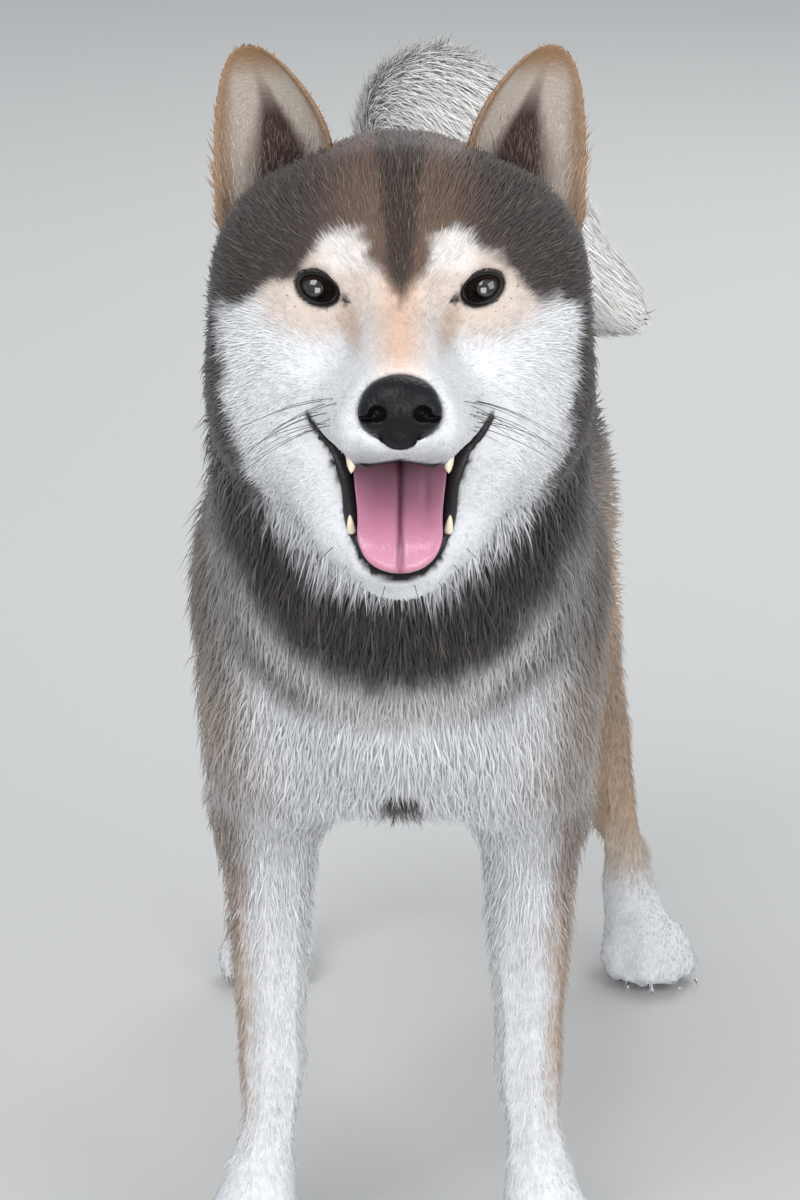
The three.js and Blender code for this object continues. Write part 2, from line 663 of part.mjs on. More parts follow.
const mouth = mouthCutter();
let skull = headWhole.subtract(headCut(-GAP / 2)).subtract(mouth).subtract(jawCut(0)).subtract(noseSocket)
  .subtract(tongueRoom);
for (const [, side] of SIDES) {
  skull = skull.subtract(eyeOpening(side, 0)).subtract(eyeBall(side, GAP));
  skull = skull.add(spike([side * 17, -54, -48], [side * 17.6, -58, -62.5], 3.2, 0.8));
}
let jaw = headWhole.subtract(headCut(-GAP / 2)).intersect(jawCut(GAP)).subtract(mouth);
for (const [, side] of SIDES) {
  jaw = jaw.add(spike([side * 14.5, -38, -98], [side * 18, -44, -74], 3.4, 0.8));
}
jaw = jaw.subtract(tongueRoom);
addNode(head, 'head', skull, 'sesame');
addNode(head, 'lower_jaw', jaw, 'cream');
addNode(head, 'tongue', tongueSolid(0), 'tongue');
addNode(head, 'nose', noseGrid(0, 3).subtract(solidOf(
  new THREE.BoxGeometry(80, 60, 80).translate(0, NOSE[1] + 36, NOSE[2]),
)), 'leather');
for (const [name, side] of SIDES) {
  addNode(head, `eye_${name}`, eyeBall(side, 0), 'eye');
}
const earSocket = surfaceOf(
  (x, y, z) => bodyFromHead(x, y, z) - GAP,
  ruler(10, 94, () => 6),
  ruler(-10, 100, () => 6),
  ruler(-20, 66, () => 6),
);
for (const [name, side] of SIDES) {
  const flesh = side > 0 ? earSocket : earSocket.mirror([1, 0, 0]);
  addNode(head, `ear_${name}`, earSolid(side).subtract(flesh), 'tan');
}

// Neck, trunk and legs, parted by thin cuts
const neckCut = (shift) => {
  const g = new THREE.BoxGeometry(500, 500, 500).translate(0, 0, 250 + shift);
  const turn = new THREE.Matrix4().makeRotationX(THREE.MathUtils.degToRad(33));
  return solidOf(g, turn.setPosition(vec(0, -10, 345)));
};
const cutWorld = (solid) => solid.transform(headMatrix.elements);
const neckWhole = surfaceOf(
  bodyField,
  ruler(-106, 106, () => 21),
  ruler(-170, 70, () => 21),
  ruler(240, 500, () => 21),
);
// The ruff: two rows of locks round the sides and back of the neck
const ruffRoots = [];
for (const [row, axis] of [[0, vec(0, -66, 424)], [1, vec(0, -46, 388)]]) {
  for (let n = -4; n <= 4; n++) {
    const turn = (n + 0.5 * row) * 0.44;
    if (row === 1 && n === 4) continue;
    ruffRoots.push([axis.clone(), vec(Math.sin(turn), 0.62 * Math.cos(turn), 0.78 * Math.cos(turn))]);
  }
}
const ruffLie = (p) => vec(0.25 * Math.sign(p.x), 0.5, -0.75 - 0.2 * Math.abs(p.x) / 60);
let neck = neckWhole.intersect(neckCut(GAP / 2)).intersect(cutWorld(headCut(GAP / 2)));
for (const piece of coatLocks(bodyField, ruffRoots, ruffLie, [40, 13, 3, 2.6], 11)) neck = neck.add(piece);
neck = neck.intersect(neckCut(GAP / 2)).intersect(cutWorld(headCut(GAP / 2)));
addNode(dog, 'neck', neck, 'sesame');

// The block that takes one leg off the trunk: its top face slopes up outwards
function legBlock(leg, grow) {
  const inner = leg.kind === 'fore' ? 33 : 7;
  const middle = leg.kind === 'fore' ? 0 : REAR_SHIFT;
  const slope = leg.kind === 'fore' ? 0.3 : 0.72;
  const top = leg.kind === 'fore' ? CHEST_FLOOR + 2 : 238;
  const deep = leg.kind === 'fore' ? [-74, 64] : [190, 390];
  const outline = new THREE.Shape();
  outline.moveTo(inner - grow, -20);
  outline.lineTo(150, -20);
  outline.lineTo(150, top + slope * (150 - inner) + grow);
  outline.lineTo(inner - grow, top + grow);
  outline.closePath();
  const g = new THREE.ExtrudeGeometry(outline, { depth: deep[1] - deep[0], bevelEnabled: false });
  g.applyMatrix4(new THREE.Matrix4().makeRotationX(Math.PI / 2)).translate(0, deep[1], 0);
  const solid = solidOf(g);
  return (leg.s > 0 ? solid : solid.mirror([1, 0, 0])).translate([middle, 0, 0]);
}

let torso = surfaceOf(
  bodyField,
  ruler(-114, 130, () => 21),
  ruler(-116, 376, () => 24),
  ruler(150, 416, () => 21),
).subtract(neckCut(-GAP / 2));
for (const leg of LEGS) torso = torso.subtract(legBlock(leg, GAP));
addNode(dog, 'torso', torso, 'sesame');

// Each leg, and its paw below the pastern, with flat soles on the floor
const floorBlock = solidOf(new THREE.BoxGeometry(900, 1200, 60).translate(0, 100, -30));
const PASTERN = { fore: 44, hind: 42 };
for (const leg of LEGS) {
  const fine = legField(leg);
  const [reachBack, reachFront] = leg.kind === 'fore' ? [70, -76] : [390, 150];
  const centre = leg.kind === 'fore' ? 58 * leg.s : REAR_SHIFT + 68 * leg.s;
  const long = surfaceOf(
    bodyField,
    ruler(centre - 62, centre + 62, () => 14),
    ruler(reachFront, reachBack, () => 15),
    ruler(16, 330, () => 20),
  );
  const pastern = PASTERN[leg.kind];
  const above = solidOf(new THREE.BoxGeometry(600, 900, 600).translate(0, 150, 300 + pastern + GAP));
  let limbSolid = long.intersect(legBlock(leg, 0)).intersect(above);
  if (leg.kind === 'hind') {
    const breech = [0, 1, 2].flatMap((row) => [-0.4, 0.5].map((turn) => [
      vec(REAR_SHIFT + leg.s * 48, 280 - 6 * row, 262 - 24 * row),
      vec(leg.s * Math.sin(turn), Math.cos(turn), -0.1),
    ]));
    for (const piece of coatLocks(bodyField, breech, () => vec(0, -0.1, -1), [40, 12, 3, 3], 31)) {
      limbSolid = limbSolid.add(piece);
    }
    limbSolid = limbSolid.intersect(legBlock(leg, 0));
  }
  addNode(dog, `${leg.kind}leg_${leg.name}`, limbSolid, 'tan');
  const below = solidOf(new THREE.BoxGeometry(600, 900, 200).translate(0, 150, pastern - 100));
  let paw = surfaceOf(
    fine,
    ruler(leg.x - 36, leg.x + 36, () => 8.2),
    ruler(leg.y - 54, leg.y + 50, () => 8.6),
    ruler(-12, pastern + 14, () => 8.6),
  ).intersect(below).subtract(floorBlock);
  for (const [across, reach] of TOES) {
    const turn = new THREE.Matrix4().makeRotationZ(leg.turn).setPosition(vec(leg.x, leg.y, 0));
    const claw = spike([across * 1.02, reach - 9, 12], [across * 1.05, reach - 21, 4.2], 2.5, 0.8);
    paw = paw.add(claw.transform(turn.elements));
  }
  addNode(dog, `${leg.kind}paw_${leg.name}`, paw, 'cream');
}

// The tail: high set, curled over the left hip, kept clear of the back.
// Its core reaches about half way out; locks make the brush.
const TAIL = [
  [24, 322, 352, 25], [22, 340, 386, 31], [12, 338, 416, 34], [15, 316, 438, 36],
  [34, 294, 430, 36], [54, 278, 410, 33], [72, 270, 386, 27], [88, 272, 368, 23], [102, 276, 356, 17], [112, 279, 348, 9],
];
const BRUSH_CORE = 0.68;
const tailMasses = TAIL.slice(1).map(([x, y, z, r], n) => {
  const [px, py, pz, pr] = TAIL[n];
  return [limb([px, py, pz], [x, y, z], pr * BRUSH_CORE, r * BRUSH_CORE), 6];
});
const tailField = blend(tailMasses);
const clearOfBack = (x, y, z) => GAP + 0.6 - bodyField(x, y, z);
let tail = surfaceOf(
  (x, y, z) => Math.max(tailField(x, y, z), clearOfBack(x, y, z)),
  ruler(-40, 140, () => 15.5),
  ruler(216, 392, () => 15.5),
  ruler(300, 490, () => 15.5),
);
const tailPath = new THREE.CatmullRomCurve3(TAIL.map(([x, y, z]) => vec(x, y, z)));
const tailWidth = (t) => {
  const station = Math.min(0.999, t) * (TAIL.length - 1);
  return THREE.MathUtils.lerp(TAIL[Math.floor(station)][3], TAIL[Math.ceil(station)][3], station % 1);
};

// A point of the brush: how far along, how far round, and what share of the way out
const FRAMES = 60;
const tailFrames = tailPath.computeFrenetFrames(FRAMES, false);
function brushPoint(t, turn, share) {
  const at = Math.min(1, t);
  const n = Math.round(at * FRAMES);
  const out = tailFrames.normals[n].clone().multiplyScalar(Math.cos(turn))
    .addScaledVector(tailFrames.binormals[n], Math.sin(turn));
  const past = tailFrames.tangents[n].clone().multiplyScalar(Math.max(0, t - 1) * 300);
  return [tailPath.getPointAt(at).addScaledVector(out, share * tailWidth(at)).add(past), out];
}
const tailDraw = draws(7);
const BRUSH_ROWS = 5;
const BRUSH_ROUND = 5;
for (let row = 0; row < BRUSH_ROWS; row++) {
  for (let n = 0; n < BRUSH_ROUND; n++) {
    const t = 0.04 + 0.72 * row / (BRUSH_ROWS - 1) + 0.015 * tailDraw();
    const turn = 2 * Math.PI * (n + 0.5 * (row % 2)) / BRUSH_ROUND + 0.12 * tailDraw();
    const reach = 0.25 * (1 + 0.15 * tailDraw());
    const shares = [[0, 0.45], [0.3, 0.84], [0.65, 0.98], [1, 1]];
    const points = shares.map(([part, share]) => brushPoint(t + reach * part, turn, share)[0].toArray());
    const [tip, out] = brushPoint(t + reach, turn, 1);
    if (clearOfBack(tip.x, tip.y, tip.z) > -8) continue;
    const wide = 0.62 * tailWidth(t);
    const taper = (part) => Math.max(0.1, Math.min(1, 0.7 + part) * (1 - part ** 2.4));
    const middle = brushPoint(t + reach / 2, turn, 1)[1];
    tail = tail.add(sweep(points, 3, 4, (part) => [wide * taper(part), 4.2 * taper(part)],
      (part) => (part < 0.5 ? middle : out)));
  }
}
const backRoom = surfaceOf(
  (x, y, z) => -clearOfBack(x, y, z) - 0.2,
  ruler(-60, 130, () => 19),
  ruler(200, 380, () => 19),
  ruler(280, 400, () => 19),
);
addNode(dog, 'tail', tail.subtract(backRoom), 'cream');

// The origin is on the floor, at the middle of the box that holds the dog.
const bounds = new THREE.Box3().setFromObject(dog, true);
dog.position.set(-(bounds.min.x + bounds.max.x) / 2, -(bounds.min.y + bounds.max.y) / 2, -bounds.min.z);

export default dog;
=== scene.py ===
"""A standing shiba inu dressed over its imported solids: skin, coat, eyes, nose, mouth, claws and studio."""

from __future__ import annotations

import json
import logging
import math
from dataclasses import dataclass
from enum import Enum
from typing import Sequence

import bmesh
import bpy
import numpy as np
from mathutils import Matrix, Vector
from mathutils.kdtree import KDTree

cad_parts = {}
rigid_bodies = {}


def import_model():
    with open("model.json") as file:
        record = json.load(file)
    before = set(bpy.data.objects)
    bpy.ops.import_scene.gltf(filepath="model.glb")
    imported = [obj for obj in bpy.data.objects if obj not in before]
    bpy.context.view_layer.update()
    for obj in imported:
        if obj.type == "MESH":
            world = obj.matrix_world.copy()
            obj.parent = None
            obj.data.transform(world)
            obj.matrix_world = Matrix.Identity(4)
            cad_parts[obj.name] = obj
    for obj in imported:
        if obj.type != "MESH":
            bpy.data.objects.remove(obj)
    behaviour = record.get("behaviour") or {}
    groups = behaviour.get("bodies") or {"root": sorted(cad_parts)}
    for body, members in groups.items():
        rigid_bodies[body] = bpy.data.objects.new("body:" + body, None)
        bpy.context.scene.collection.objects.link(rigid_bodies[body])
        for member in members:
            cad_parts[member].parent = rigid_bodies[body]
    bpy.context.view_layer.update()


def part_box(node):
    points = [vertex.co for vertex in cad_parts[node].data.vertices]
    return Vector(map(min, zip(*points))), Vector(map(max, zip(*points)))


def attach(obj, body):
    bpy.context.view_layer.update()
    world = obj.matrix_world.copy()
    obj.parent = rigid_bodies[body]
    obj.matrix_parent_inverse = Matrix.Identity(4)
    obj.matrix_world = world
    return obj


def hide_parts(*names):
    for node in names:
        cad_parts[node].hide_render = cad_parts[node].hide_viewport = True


LOG = logging.getLogger("shiba")
Array = np.ndarray

MM = 0.001
BODY = "root"

# The head's own frame, as in the solids: origin midway between the eyes, -Y to the nose
HEAD_ORIGIN = np.array([0.0, -150.1, 470.05])
HEAD_TILT = math.radians(9.0)
EYE_CENTRE = np.array([31.0, 9.5, 0.0])
EYE_RADIUS = 10.5
# The lids' opening: half its length, and its slope down to the nose
LID_HALF = 7.5
LID_SLOPE = 0.2
# The ears, as in the solids: root, tip, half width, and the turn of the cup outwards
EAR_ROOT = np.array([47.5, 46.0, 16.0])
EAR_TIP = np.array([57.0, 40.0, 90.5])
EAR_HALF = 27.5
EAR_TURN = 0.42
NOSE_AT = np.array([0.0, -76.0, -37.5])
# Straight back into the head, from before the face
FACE_WAY = np.array([[0.0, 1.0, 0.0]])
# The middle of the painted shade under the chest, in the body's frame
BRISKET = np.array([0.0, -68.0, 224.0])
# The tail's middle line from the rump round its curl, in the body's frame, and how far its hair reaches
TAIL_ROUTE = (
    (24, 322, 352, 25),
    (22, 340, 386, 31),
    (12, 338, 416, 34),
    (15, 316, 438, 36),
    (34, 294, 430, 36),
    (54, 278, 410, 33),
    (72, 270, 386, 27),
    (88, 272, 368, 23),
    (102, 276, 356, 17),
    (112, 279, 348, 9),
)
SIDES = ((1, "left"), (-1, "right"))
# The solids that one skin stands for
FLESH = ("head", "lower_jaw", "neck", "torso") + tuple(
    f"{part}_{side}" for part in ("foreleg", "forepaw", "hindleg", "hindpaw") for side in ("left", "right")
)
EARS = ("ear_left", "ear_right")


class Region(Enum):
    """The coat's pieces, each kept as a mesh of its own."""

    MUZZLE = "muzzle"
    FACE = "face"
    SKULL = "skull"
    NECK = "neck"
    TRUNK_FRONT = "trunk_front"
    TRUNK_REAR = "trunk_rear"
    FORELEGS = "forelegs"
    HINDLEGS = "hindlegs"


TUFT_COUNTS = {
    Region.MUZZLE: 12000,
    Region.FACE: 15000,
    Region.SKULL: 13500,
    Region.NECK: 20500,
    Region.TRUNK_FRONT: 19500,
    Region.TRUNK_REAR: 17000,
    Region.FORELEGS: 16000,
    Region.HINDLEGS: 15000,
}


def srgb(red: float, green: float, blue: float) -> Array:
    """Turns a display colour into a linear one.

    Args:
        red: Red, 0 to 255.
        green: Green, 0 to 255.
        blue: Blue, 0 to 255.

    Returns:
        The linear colour as three numbers.
    """
    value = np.array([red, green, blue], float) / 255.0
    return np.where(value <= 0.04045, value / 12.92, ((value + 0.055) / 1.055) ** 2.4)


def ramp(value: Array, low: float, high: float) -> Array:
    """A smooth step from 0 at low to 1 at high; low may be above high.

    Args:
        value: What is measured.
        low: Where the step starts.
        high: Where it ends.

    Returns:
        The step's height at each value.
    """
    t = np.clip((value - low) / (high - low), 0.0, 1.0)
    return t * t * (3.0 - 2.0 * t)


def bump_at(value: Array, middle: float, reach: float) -> Array:
    """A smooth hill of height 1 at middle that falls to 0 at reach."""
    return 1.0 - ramp(np.abs(value - middle), 0.0, reach)


def mix(one: Array, other: Array, share: Array) -> Array:
    """Blends two colours or vectors by a share for each row."""
    return one + (other - one) * np.asarray(share)[..., None]


def unit(vectors: Array) -> Array:
    """Scales each row to length 1."""
    return vectors / np.maximum(np.linalg.norm(vectors, axis=-1, keepdims=True), 1e-9)


def noise(points: Array, scale: float, seed: int) -> Array:
    """Smooth repeatable noise between -1 and 1, as a sum of a few tilted waves.

    Args:
        points: Places in millimetres.
        scale: The size of a patch in millimetres.
        seed: The draw that sets the waves.

    Returns:
        One value for each place.
    """
    draw = np.random.RandomState(seed)
    total = np.zeros(len(points))
    for octave in range(3):
        for _ in range(4):
            wave = unit(draw.normal(size=3)) * (2 ** octave) * 2.0 * math.pi / scale
            total += np.sin(points @ wave + draw.uniform(0, 6.28)) / (2 ** octave)
    return np.clip(total / 4.0, -1.0, 1.0)


def even(colour: Array, places: Array) -> Array:
    """One colour, repeated for each place."""
    return np.tile(colour, (len(places), 1))


def eased(values: Array, rounds: int) -> Array:
    """Evens out a row of values along its length, but for the two ends.

    Args:
        values: The row, which is changed in place.
        rounds: How often.

    Returns:
        The same row.
    """
    for _ in range(rounds):
        values[1:-1] = 0.25 * values[:-2] + 0.5 * values[1:-1] + 0.25 * values[2:]
    return values


def past_cut(head: Array) -> Array:
    """How far in front of the cut behind the skull each place is, in millimetres."""
    return 0.72 * (head[:, 2] + 42.0) - 0.69 * (head[:, 1] - 74.0)


def ear_share(head: Array) -> Array:
    """How far up the ear each place is, 0 at the root and 1 at the tip."""
    return (head[:, 2] - EAR_ROOT[2]) / (EAR_TIP[2] - EAR_ROOT[2])


@dataclass(frozen=True)
class Frame:
    """Turns places of the scene, in metres, into the animal's own millimetres and back."""

    shift: Array

    @classmethod
    def from_eyes(cls) -> "Frame":
        """Finds the frame from where the solids' eyes are.

        Returns:
            The frame.
        """
        middle = np.zeros(3)
        for node in ("eye_left", "eye_right"):
            low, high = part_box(node)
            middle += (np.array(low) + np.array(high)) / 4.0
        probe = cls(np.zeros(3))
        eye = probe.from_head(EYE_CENTRE[None])[0] / MM
        eye[0] = 0.0
        return cls(middle - eye * MM)

    def body(self, points: Array) -> Array:
        """Places in the body's frame, in millimetres."""
        return (points - self.shift) / MM

    def head(self, body: Array) -> Array:
        """Body places in the head's frame, in millimetres.

        Args:
            body: Places in the body's frame.

        Returns:
            The same places in the head's frame.
        """
        p = body - HEAD_ORIGIN
        c, s = math.cos(-HEAD_TILT), math.sin(-HEAD_TILT)
        return np.stack([p[:, 0], p[:, 1] * c + p[:, 2] * s, p[:, 2] * c - p[:, 1] * s], 1)

    def turn_out_of_head(self, vectors: Array) -> Array:
        """Directions of the head's frame, as directions of the scene.

        Args:
            vectors: Directions in the head's frame.

        Returns:
            The same directions in the scene.
        """
        c, s = math.cos(-HEAD_TILT), math.sin(-HEAD_TILT)
        x, y, z = vectors[:, 0], vectors[:, 1], vectors[:, 2]
        return np.stack([x, y * c - z * s, y * s + z * c], 1)

    def world(self, body: Array) -> Array:
        """Body millimetres as places of the scene, in metres."""
        return body * MM + self.shift

    def from_head(self, head: Array) -> Array:
        """Head millimetres as places of the scene, in metres."""
        return self.world(self.turn_out_of_head(head) + HEAD_ORIGIN)


class Tail:
    """The tail's middle line and how far its brush reaches."""

    def __init__(self) -> None:
        """Samples the route finely."""
        route = np.array(TAIL_ROUTE, float)
        steps = np.linspace(0, len(route) - 1, 160)
        low = np.clip(steps.astype(int), 0, len(route) - 2)
        t = (steps - low)[:, None]
        previous = route[np.clip(low - 1, 0, None)]
        following = route[np.clip(low + 2, None, len(route) - 1)]
        here, there = route[low], route[low + 1]
        samples = 0.5 * (
            2 * here
            + (there - previous) * t
            + (2 * previous - 5 * here + 4 * there - following) * t ** 2
            + (3 * here - previous - 3 * there + following) * t ** 3
        )
        self.points = samples[:, :3]
        self.reach = samples[:, 3]
        self.along = unit(np.gradient(self.points, axis=0))

    def nearest(self, body: Array) -> Array:
        """The index of the nearest sample of the middle line for each place.

        Args:
            body: Places in the body's frame.

        Returns:
            One index for each place.
        """
        tree = KDTree(len(self.points))
        for n, point in enumerate(self.points):
            tree.insert(point, n)
        tree.balance()
        return np.array([tree.find(p)[1] for p in body])


# Colours of the coat, as the eye sees them in soft daylight
CROWN = srgb(92, 72, 61)
CROWN_SIDE = srgb(62, 54, 52)
STRIPE = srgb(44, 33, 26)
BROW = srgb(232, 225, 220)
EYE_TAN = srgb(206, 184, 166)
BRIDGE = srgb(230, 198, 176)
WHITE = srgb(232, 233, 236)
RUFF = srgb(46, 44, 46)
GREY = srgb(118, 113, 112)
PALE_BAND = srgb(206, 205, 205)
SADDLE = srgb(78, 72, 70)
LEG_TAN = srgb(186, 160, 138)
LEG_GREY = srgb(148, 134, 124)
EAR_RIM = srgb(160, 126, 96)
EAR_PALE = srgb(196, 184, 172)
# Painted shade in the ears' hollows
EAR_HOLLOW_SHADE = srgb(70, 50, 46)
TAIL_WHITE = srgb(244, 241, 238)
# Painted shade inside the tail's curl
TAIL_CURL_SHADE = srgb(206, 202, 198)
LIP = srgb(26, 23, 24)
GUM = srgb(58, 34, 36)
SKIN_DARK = srgb(40, 33, 31)
GRIZZLE = srgb(156, 138, 126)
TEAR_TAN = srgb(186, 152, 128)
CROWN_WARM = srgb(120, 98, 84)
LIP_SHADE = srgb(150, 150, 156)
FLANK = srgb(160, 150, 142)
SHOULDER = srgb(172, 158, 148)
THIGH_PALE = srgb(226, 220, 212)
HOCK_PALE = srgb(206, 196, 184)
BELLY = srgb(222, 216, 208)
# Painted shade under the chest
BRISKET_PAINTED_SHADE = srgb(64, 56, 52)
TAIL_ROOT = srgb(150, 142, 136)
TONGUE_PINK = srgb(186, 124, 148)
# Painted shade in the tongue's groove and on its back inside the mouth
TONGUE_GROOVE_SHADE = srgb(112, 58, 80)
TONGUE_BACK_SHADE = srgb(92, 54, 66)
TONGUE_TIP = srgb(196, 134, 154)
EYE_RING = srgb(70, 58, 52)
EYE_LIMBUS = srgb(14, 10, 9)
IRIS = srgb(34, 22, 16)
PUPIL = srgb(5, 5, 6)

# The dark cap's lower edge: half width and height in the head's frame
CAP_EDGE = np.array(
    [(0, -3), (5.6, 4), (13, 15), (20, 22.5), (28, 19), (37.6, 10), (43, 4), (52, -3), (64, -6)],
)
# The loops that bound the white cheeks, the dark collar, the pale band and the second band:
# the middle's height in the head's frame, half the width, and the depth below the middle
COLLAR = ((-18.0, 69.0, 107.0), (-62.0, 75.0, 107.0), (-80.0, 74.0, 105.0), (-120.0, 86.0, 66.0))


@dataclass(frozen=True)
class EarSection:
    """The ear's cup at a share t of its length, for the ear at +X in the head's frame."""

    middle: Array
    across: Array
    half: float
    deep: float

    @classmethod
    def at(cls, t: float) -> "EarSection":
        """The section at t, 0 at the root and 1 at the tip; below 0 it continues into the head.

        Args:
            t: The share of the ear's length.

        Returns:
            The section.
        """
        u = min(max(t, 0.0), 1.0)
        middle = EAR_ROOT + (EAR_TIP - EAR_ROOT) * t
        middle[1] += 8.0 * math.sin(math.pi * u) * (1.0 - u)
        across = np.array([math.cos(EAR_TURN), math.sin(EAR_TURN), -0.3 * (1.0 - u)])
        across /= np.linalg.norm(across)
        middle = middle + across * (1.5 - 3.5 * math.sin(math.pi * u))
        half = EAR_HALF * math.sqrt(max(0.012, 1.0 - u ** 2.4)) * (0.95 + 0.05 * math.sin(math.pi * u))
        return cls(middle, across, half, half * (0.78 - 0.28 * u))

    def ring(self, thick: float, count: int) -> Array:
        """The section's closed outline, round the back of the cup and home along its inside.

        Args:
            thick: How thick the ear is, in millimetres.
            count: How many points the back has.

        Returns:
            Points in the head's frame.
        """
        back = np.array([-math.sin(EAR_TURN), math.cos(EAR_TURN), 0.0])
        turn = np.linspace(0.0, math.pi, count)[:, None]
        outer = self.middle + self.across * self.half * np.cos(turn) + back * self.deep * np.sin(turn)
        hollow = max(self.deep - thick, self.deep * 0.35)
        inner = self.middle + self.across * (self.half - thick) * np.cos(turn) + back * hollow * np.sin(turn)
        return np.concatenate([outer, inner[::-1][1:-1]])


@dataclass(frozen=True)
class Markings:
    """The coat's colours by place."""

    frame: Frame
    tail: Tail

    def face(self, head: Array) -> Array:
        """Colours of the head's coat.

        Args:
            head: Places in the head's frame, in millimetres.

        Returns:
            Linear colours, one row for each place.
        """
        x, y, z = np.abs(head[:, 0]), head[:, 1], head[:, 2]
        uneven = noise(head, 22.0, 3)
        rough = noise(head, 7.0, 5)
        colour = even(WHITE, head)
        # The bridge of the nose and the tan round the eyes
        bridge = bump_at(x, 0.0, 17.0) * ramp(z, -34.0, -14.0) * ramp(z, 16.0, 2.0)
        colour = mix(colour, BRIDGE, np.clip(bridge * 1.1, 0, 1))
        eye = np.hypot((x - EYE_CENTRE[0]) / 1.35, z)
        colour = mix(colour, EYE_TAN, 0.75 * ramp(eye, 24.0, 11.0))
        tear = np.hypot(x - 20.0 - 0.25 * (z + 6.0), (z + 12.0) * 0.45)
        colour = mix(colour, TEAR_TAN, 0.5 * ramp(tear, 6.0, 1.5))
        # The dark cap: from the ears to the brows, with a point between the eyes
        edge = z - np.interp(x, CAP_EDGE[:, 0], CAP_EDGE[:, 1]) + 3.0 * uneven + 1.6 * rough
        cap = ramp(edge, -4.0, 4.0)
        crown = mix(even(CROWN, head), CROWN_SIDE, ramp(x, 16.0, 42.0))
        crown = mix(crown, CROWN_WARM, 0.4 * ramp(x, 30.0, 10.0) * ramp(z, 60.0, 36.0))
        colour = mix(colour, crown, cap)
        lip_shade = ramp(z + 3.0 * rough, -44.0, -56.0) * ramp(x, 26.0, 12.0) * ramp(y, -44.0, -56.0)
        colour = mix(colour, LIP_SHADE, 0.65 * lip_shade)
        stripe_half = 3.2 + 0.10 * np.maximum(z - 6.0, 0.0)
        stripe = ramp(x + 1.2 * rough, stripe_half + 3.0, stripe_half - 1.0) * ramp(z, -4.0, 8.0)
        colour = mix(colour, STRIPE, 0.85 * stripe * ramp(y, 78.0, 40.0))
        # Brow spots
        brow = np.hypot((x - 20.0 + 0.35 * (z - 15.0)) / 1.25, (z - 14.5) / 1.25)
        colour = mix(colour, BROW, ramp(brow + 1.8 * rough, 8.6, 3.6))
        liner = np.maximum(ramp(eye_almond(head), 1.26, 1.1), ramp(tear_duct(head), 1.2, 0.7))
        colour = mix(colour, LIP, liner * (y < 16.0))
        return colour

    def trunk(self, body: Array) -> Array:
        """Colours of the neck, trunk and legs.

        Args:
            body: Places in the body's frame, in millimetres.

        Returns:
            Linear colours.
        """
        x, y, z = np.abs(body[:, 0] - 22.0 * ramp(body[:, 1], 60.0, 250.0)), body[:, 1], body[:, 2]
        uneven = noise(body, 42.0, 11)
        rough = noise(body, 13.0, 12)
        colour = even(WHITE, body)
        # Sides and back: grey over pale, darker along the spine
        flank = np.maximum(ramp(y, -48.0, 4.0), ramp(y, -88.0, -50.0) * ramp(x, 54.0, 72.0))
        side = ramp(z + 10.0 * uneven, 205.0, 262.0) * flank
        colour = mix(colour, FLANK, side)
        upper = ramp(z + 14.0 * uneven, 250.0, 320.0) * np.maximum(ramp(y, -70.0, 0.0), 0.8 * flank)
        colour = mix(colour, SADDLE, upper * 0.92)
        back = ramp(z, 330.0, 378.0) * ramp(y, -40.0, 20.0)
        colour = mix(colour, STRIPE, 0.45 * back)
        shoulder = ramp(x, 40.0, 66.0) * ramp(z, 196.0, 236.0) * ramp(y, -90.0, -40.0)
        colour = mix(colour, SHOULDER, 0.7 * shoulder * (1.0 - upper))
        # Legs: pale inside, tan to grey down the outer face
        fore = ramp(z, 232.0, 196.0) * ramp(y, 90.0, 60.0)
        outer = ramp(x + 3.0 * rough, 58.0, 72.0)
        stripe = mix(even(LEG_TAN, body), LEG_GREY, ramp(z, 120.0, 190.0))
        own = mix(even(WHITE, body), stripe, np.clip(outer * ramp(z, 46.0, 84.0), 0, 1) * 0.9)
        colour = mix(colour, own, fore)
        hind = ramp(y, 170.0, 205.0) * ramp(z, 280.0, 236.0)
        own = mix(even(THIGH_PALE, body), LEG_TAN, ramp(x, 34.0, 62.0))
        own = mix(own, HOCK_PALE, ramp(z, 90.0, 40.0))
        colour = mix(colour, own, hind)
        paws = ramp(z, 60.0, 34.0)
        colour = mix(colour, WHITE, paws)
        # Pale underneath, and painted shade under the chest at the brisket
        colour = mix(colour, BELLY, ramp(y, 40.0, 80.0) * ramp(z, 236.0, 200.0) * (1 - hind))
        # Painted shade: a dark patch under the chest, where shade falls
        tuft = np.linalg.norm((body - BRISKET) * np.array([1.0, 0.7, 1.0]), axis=1)
        colour = mix(colour, BRISKET_PAINTED_SHADE, ramp(tuft, 13.0, 7.0))
        pads = ramp(z, 2.2, 0.8)
        colour = mix(colour, SKIN_DARK, pads)
        return colour

    def all(self, body: Array) -> Array:
        """Colours of the whole skin, but for the ears and tail.

        Args:
            body: Places in the body's frame, in millimetres.

        Returns:
            Linear colours.
        """
        head = self.frame.head(body)
        uneven = 3.2 * noise(body, 26.0, 9) + 1.2 * noise(body, 8.0, 10)
        trunk = self.trunk(body)
        cheek, collar, pale, second = (self._past(head, loop) + uneven for loop in COLLAR)
        side = np.abs(body[:, 0])
        bands = mix(trunk, GREY, 0.8 * ramp(second, 3.0, -5.0) * ramp(side, 8.0, 44.0))
        light = mix(even(PALE_BAND, body), GREY, ramp(side, 56.0, 72.0))
        bands = mix(bands, light, ramp(pale, 4.0, -5.0))
        bands = mix(bands, RUFF, ramp(collar, 5.0, -7.0))
        colour = mix(trunk, bands, ramp(body[:, 1], -44.0, -84.0))
        behind = ramp(body[:, 2], 372.0, 396.0) * ramp(body[:, 1], 30.0, -60.0)
        colour = mix(colour, CROWN_SIDE, behind)
        face = ramp(cheek, 3.0, -4.0) * ramp(head[:, 1], 60.0, 44.0)
        upper = ramp(head[:, 2] + uneven, -8.0, 4.0) * ramp(head[:, 1], 96.0, 70.0)
        colour = mix(colour, self.face(head), np.maximum(face, upper))
        return self.mouth(head, colour)

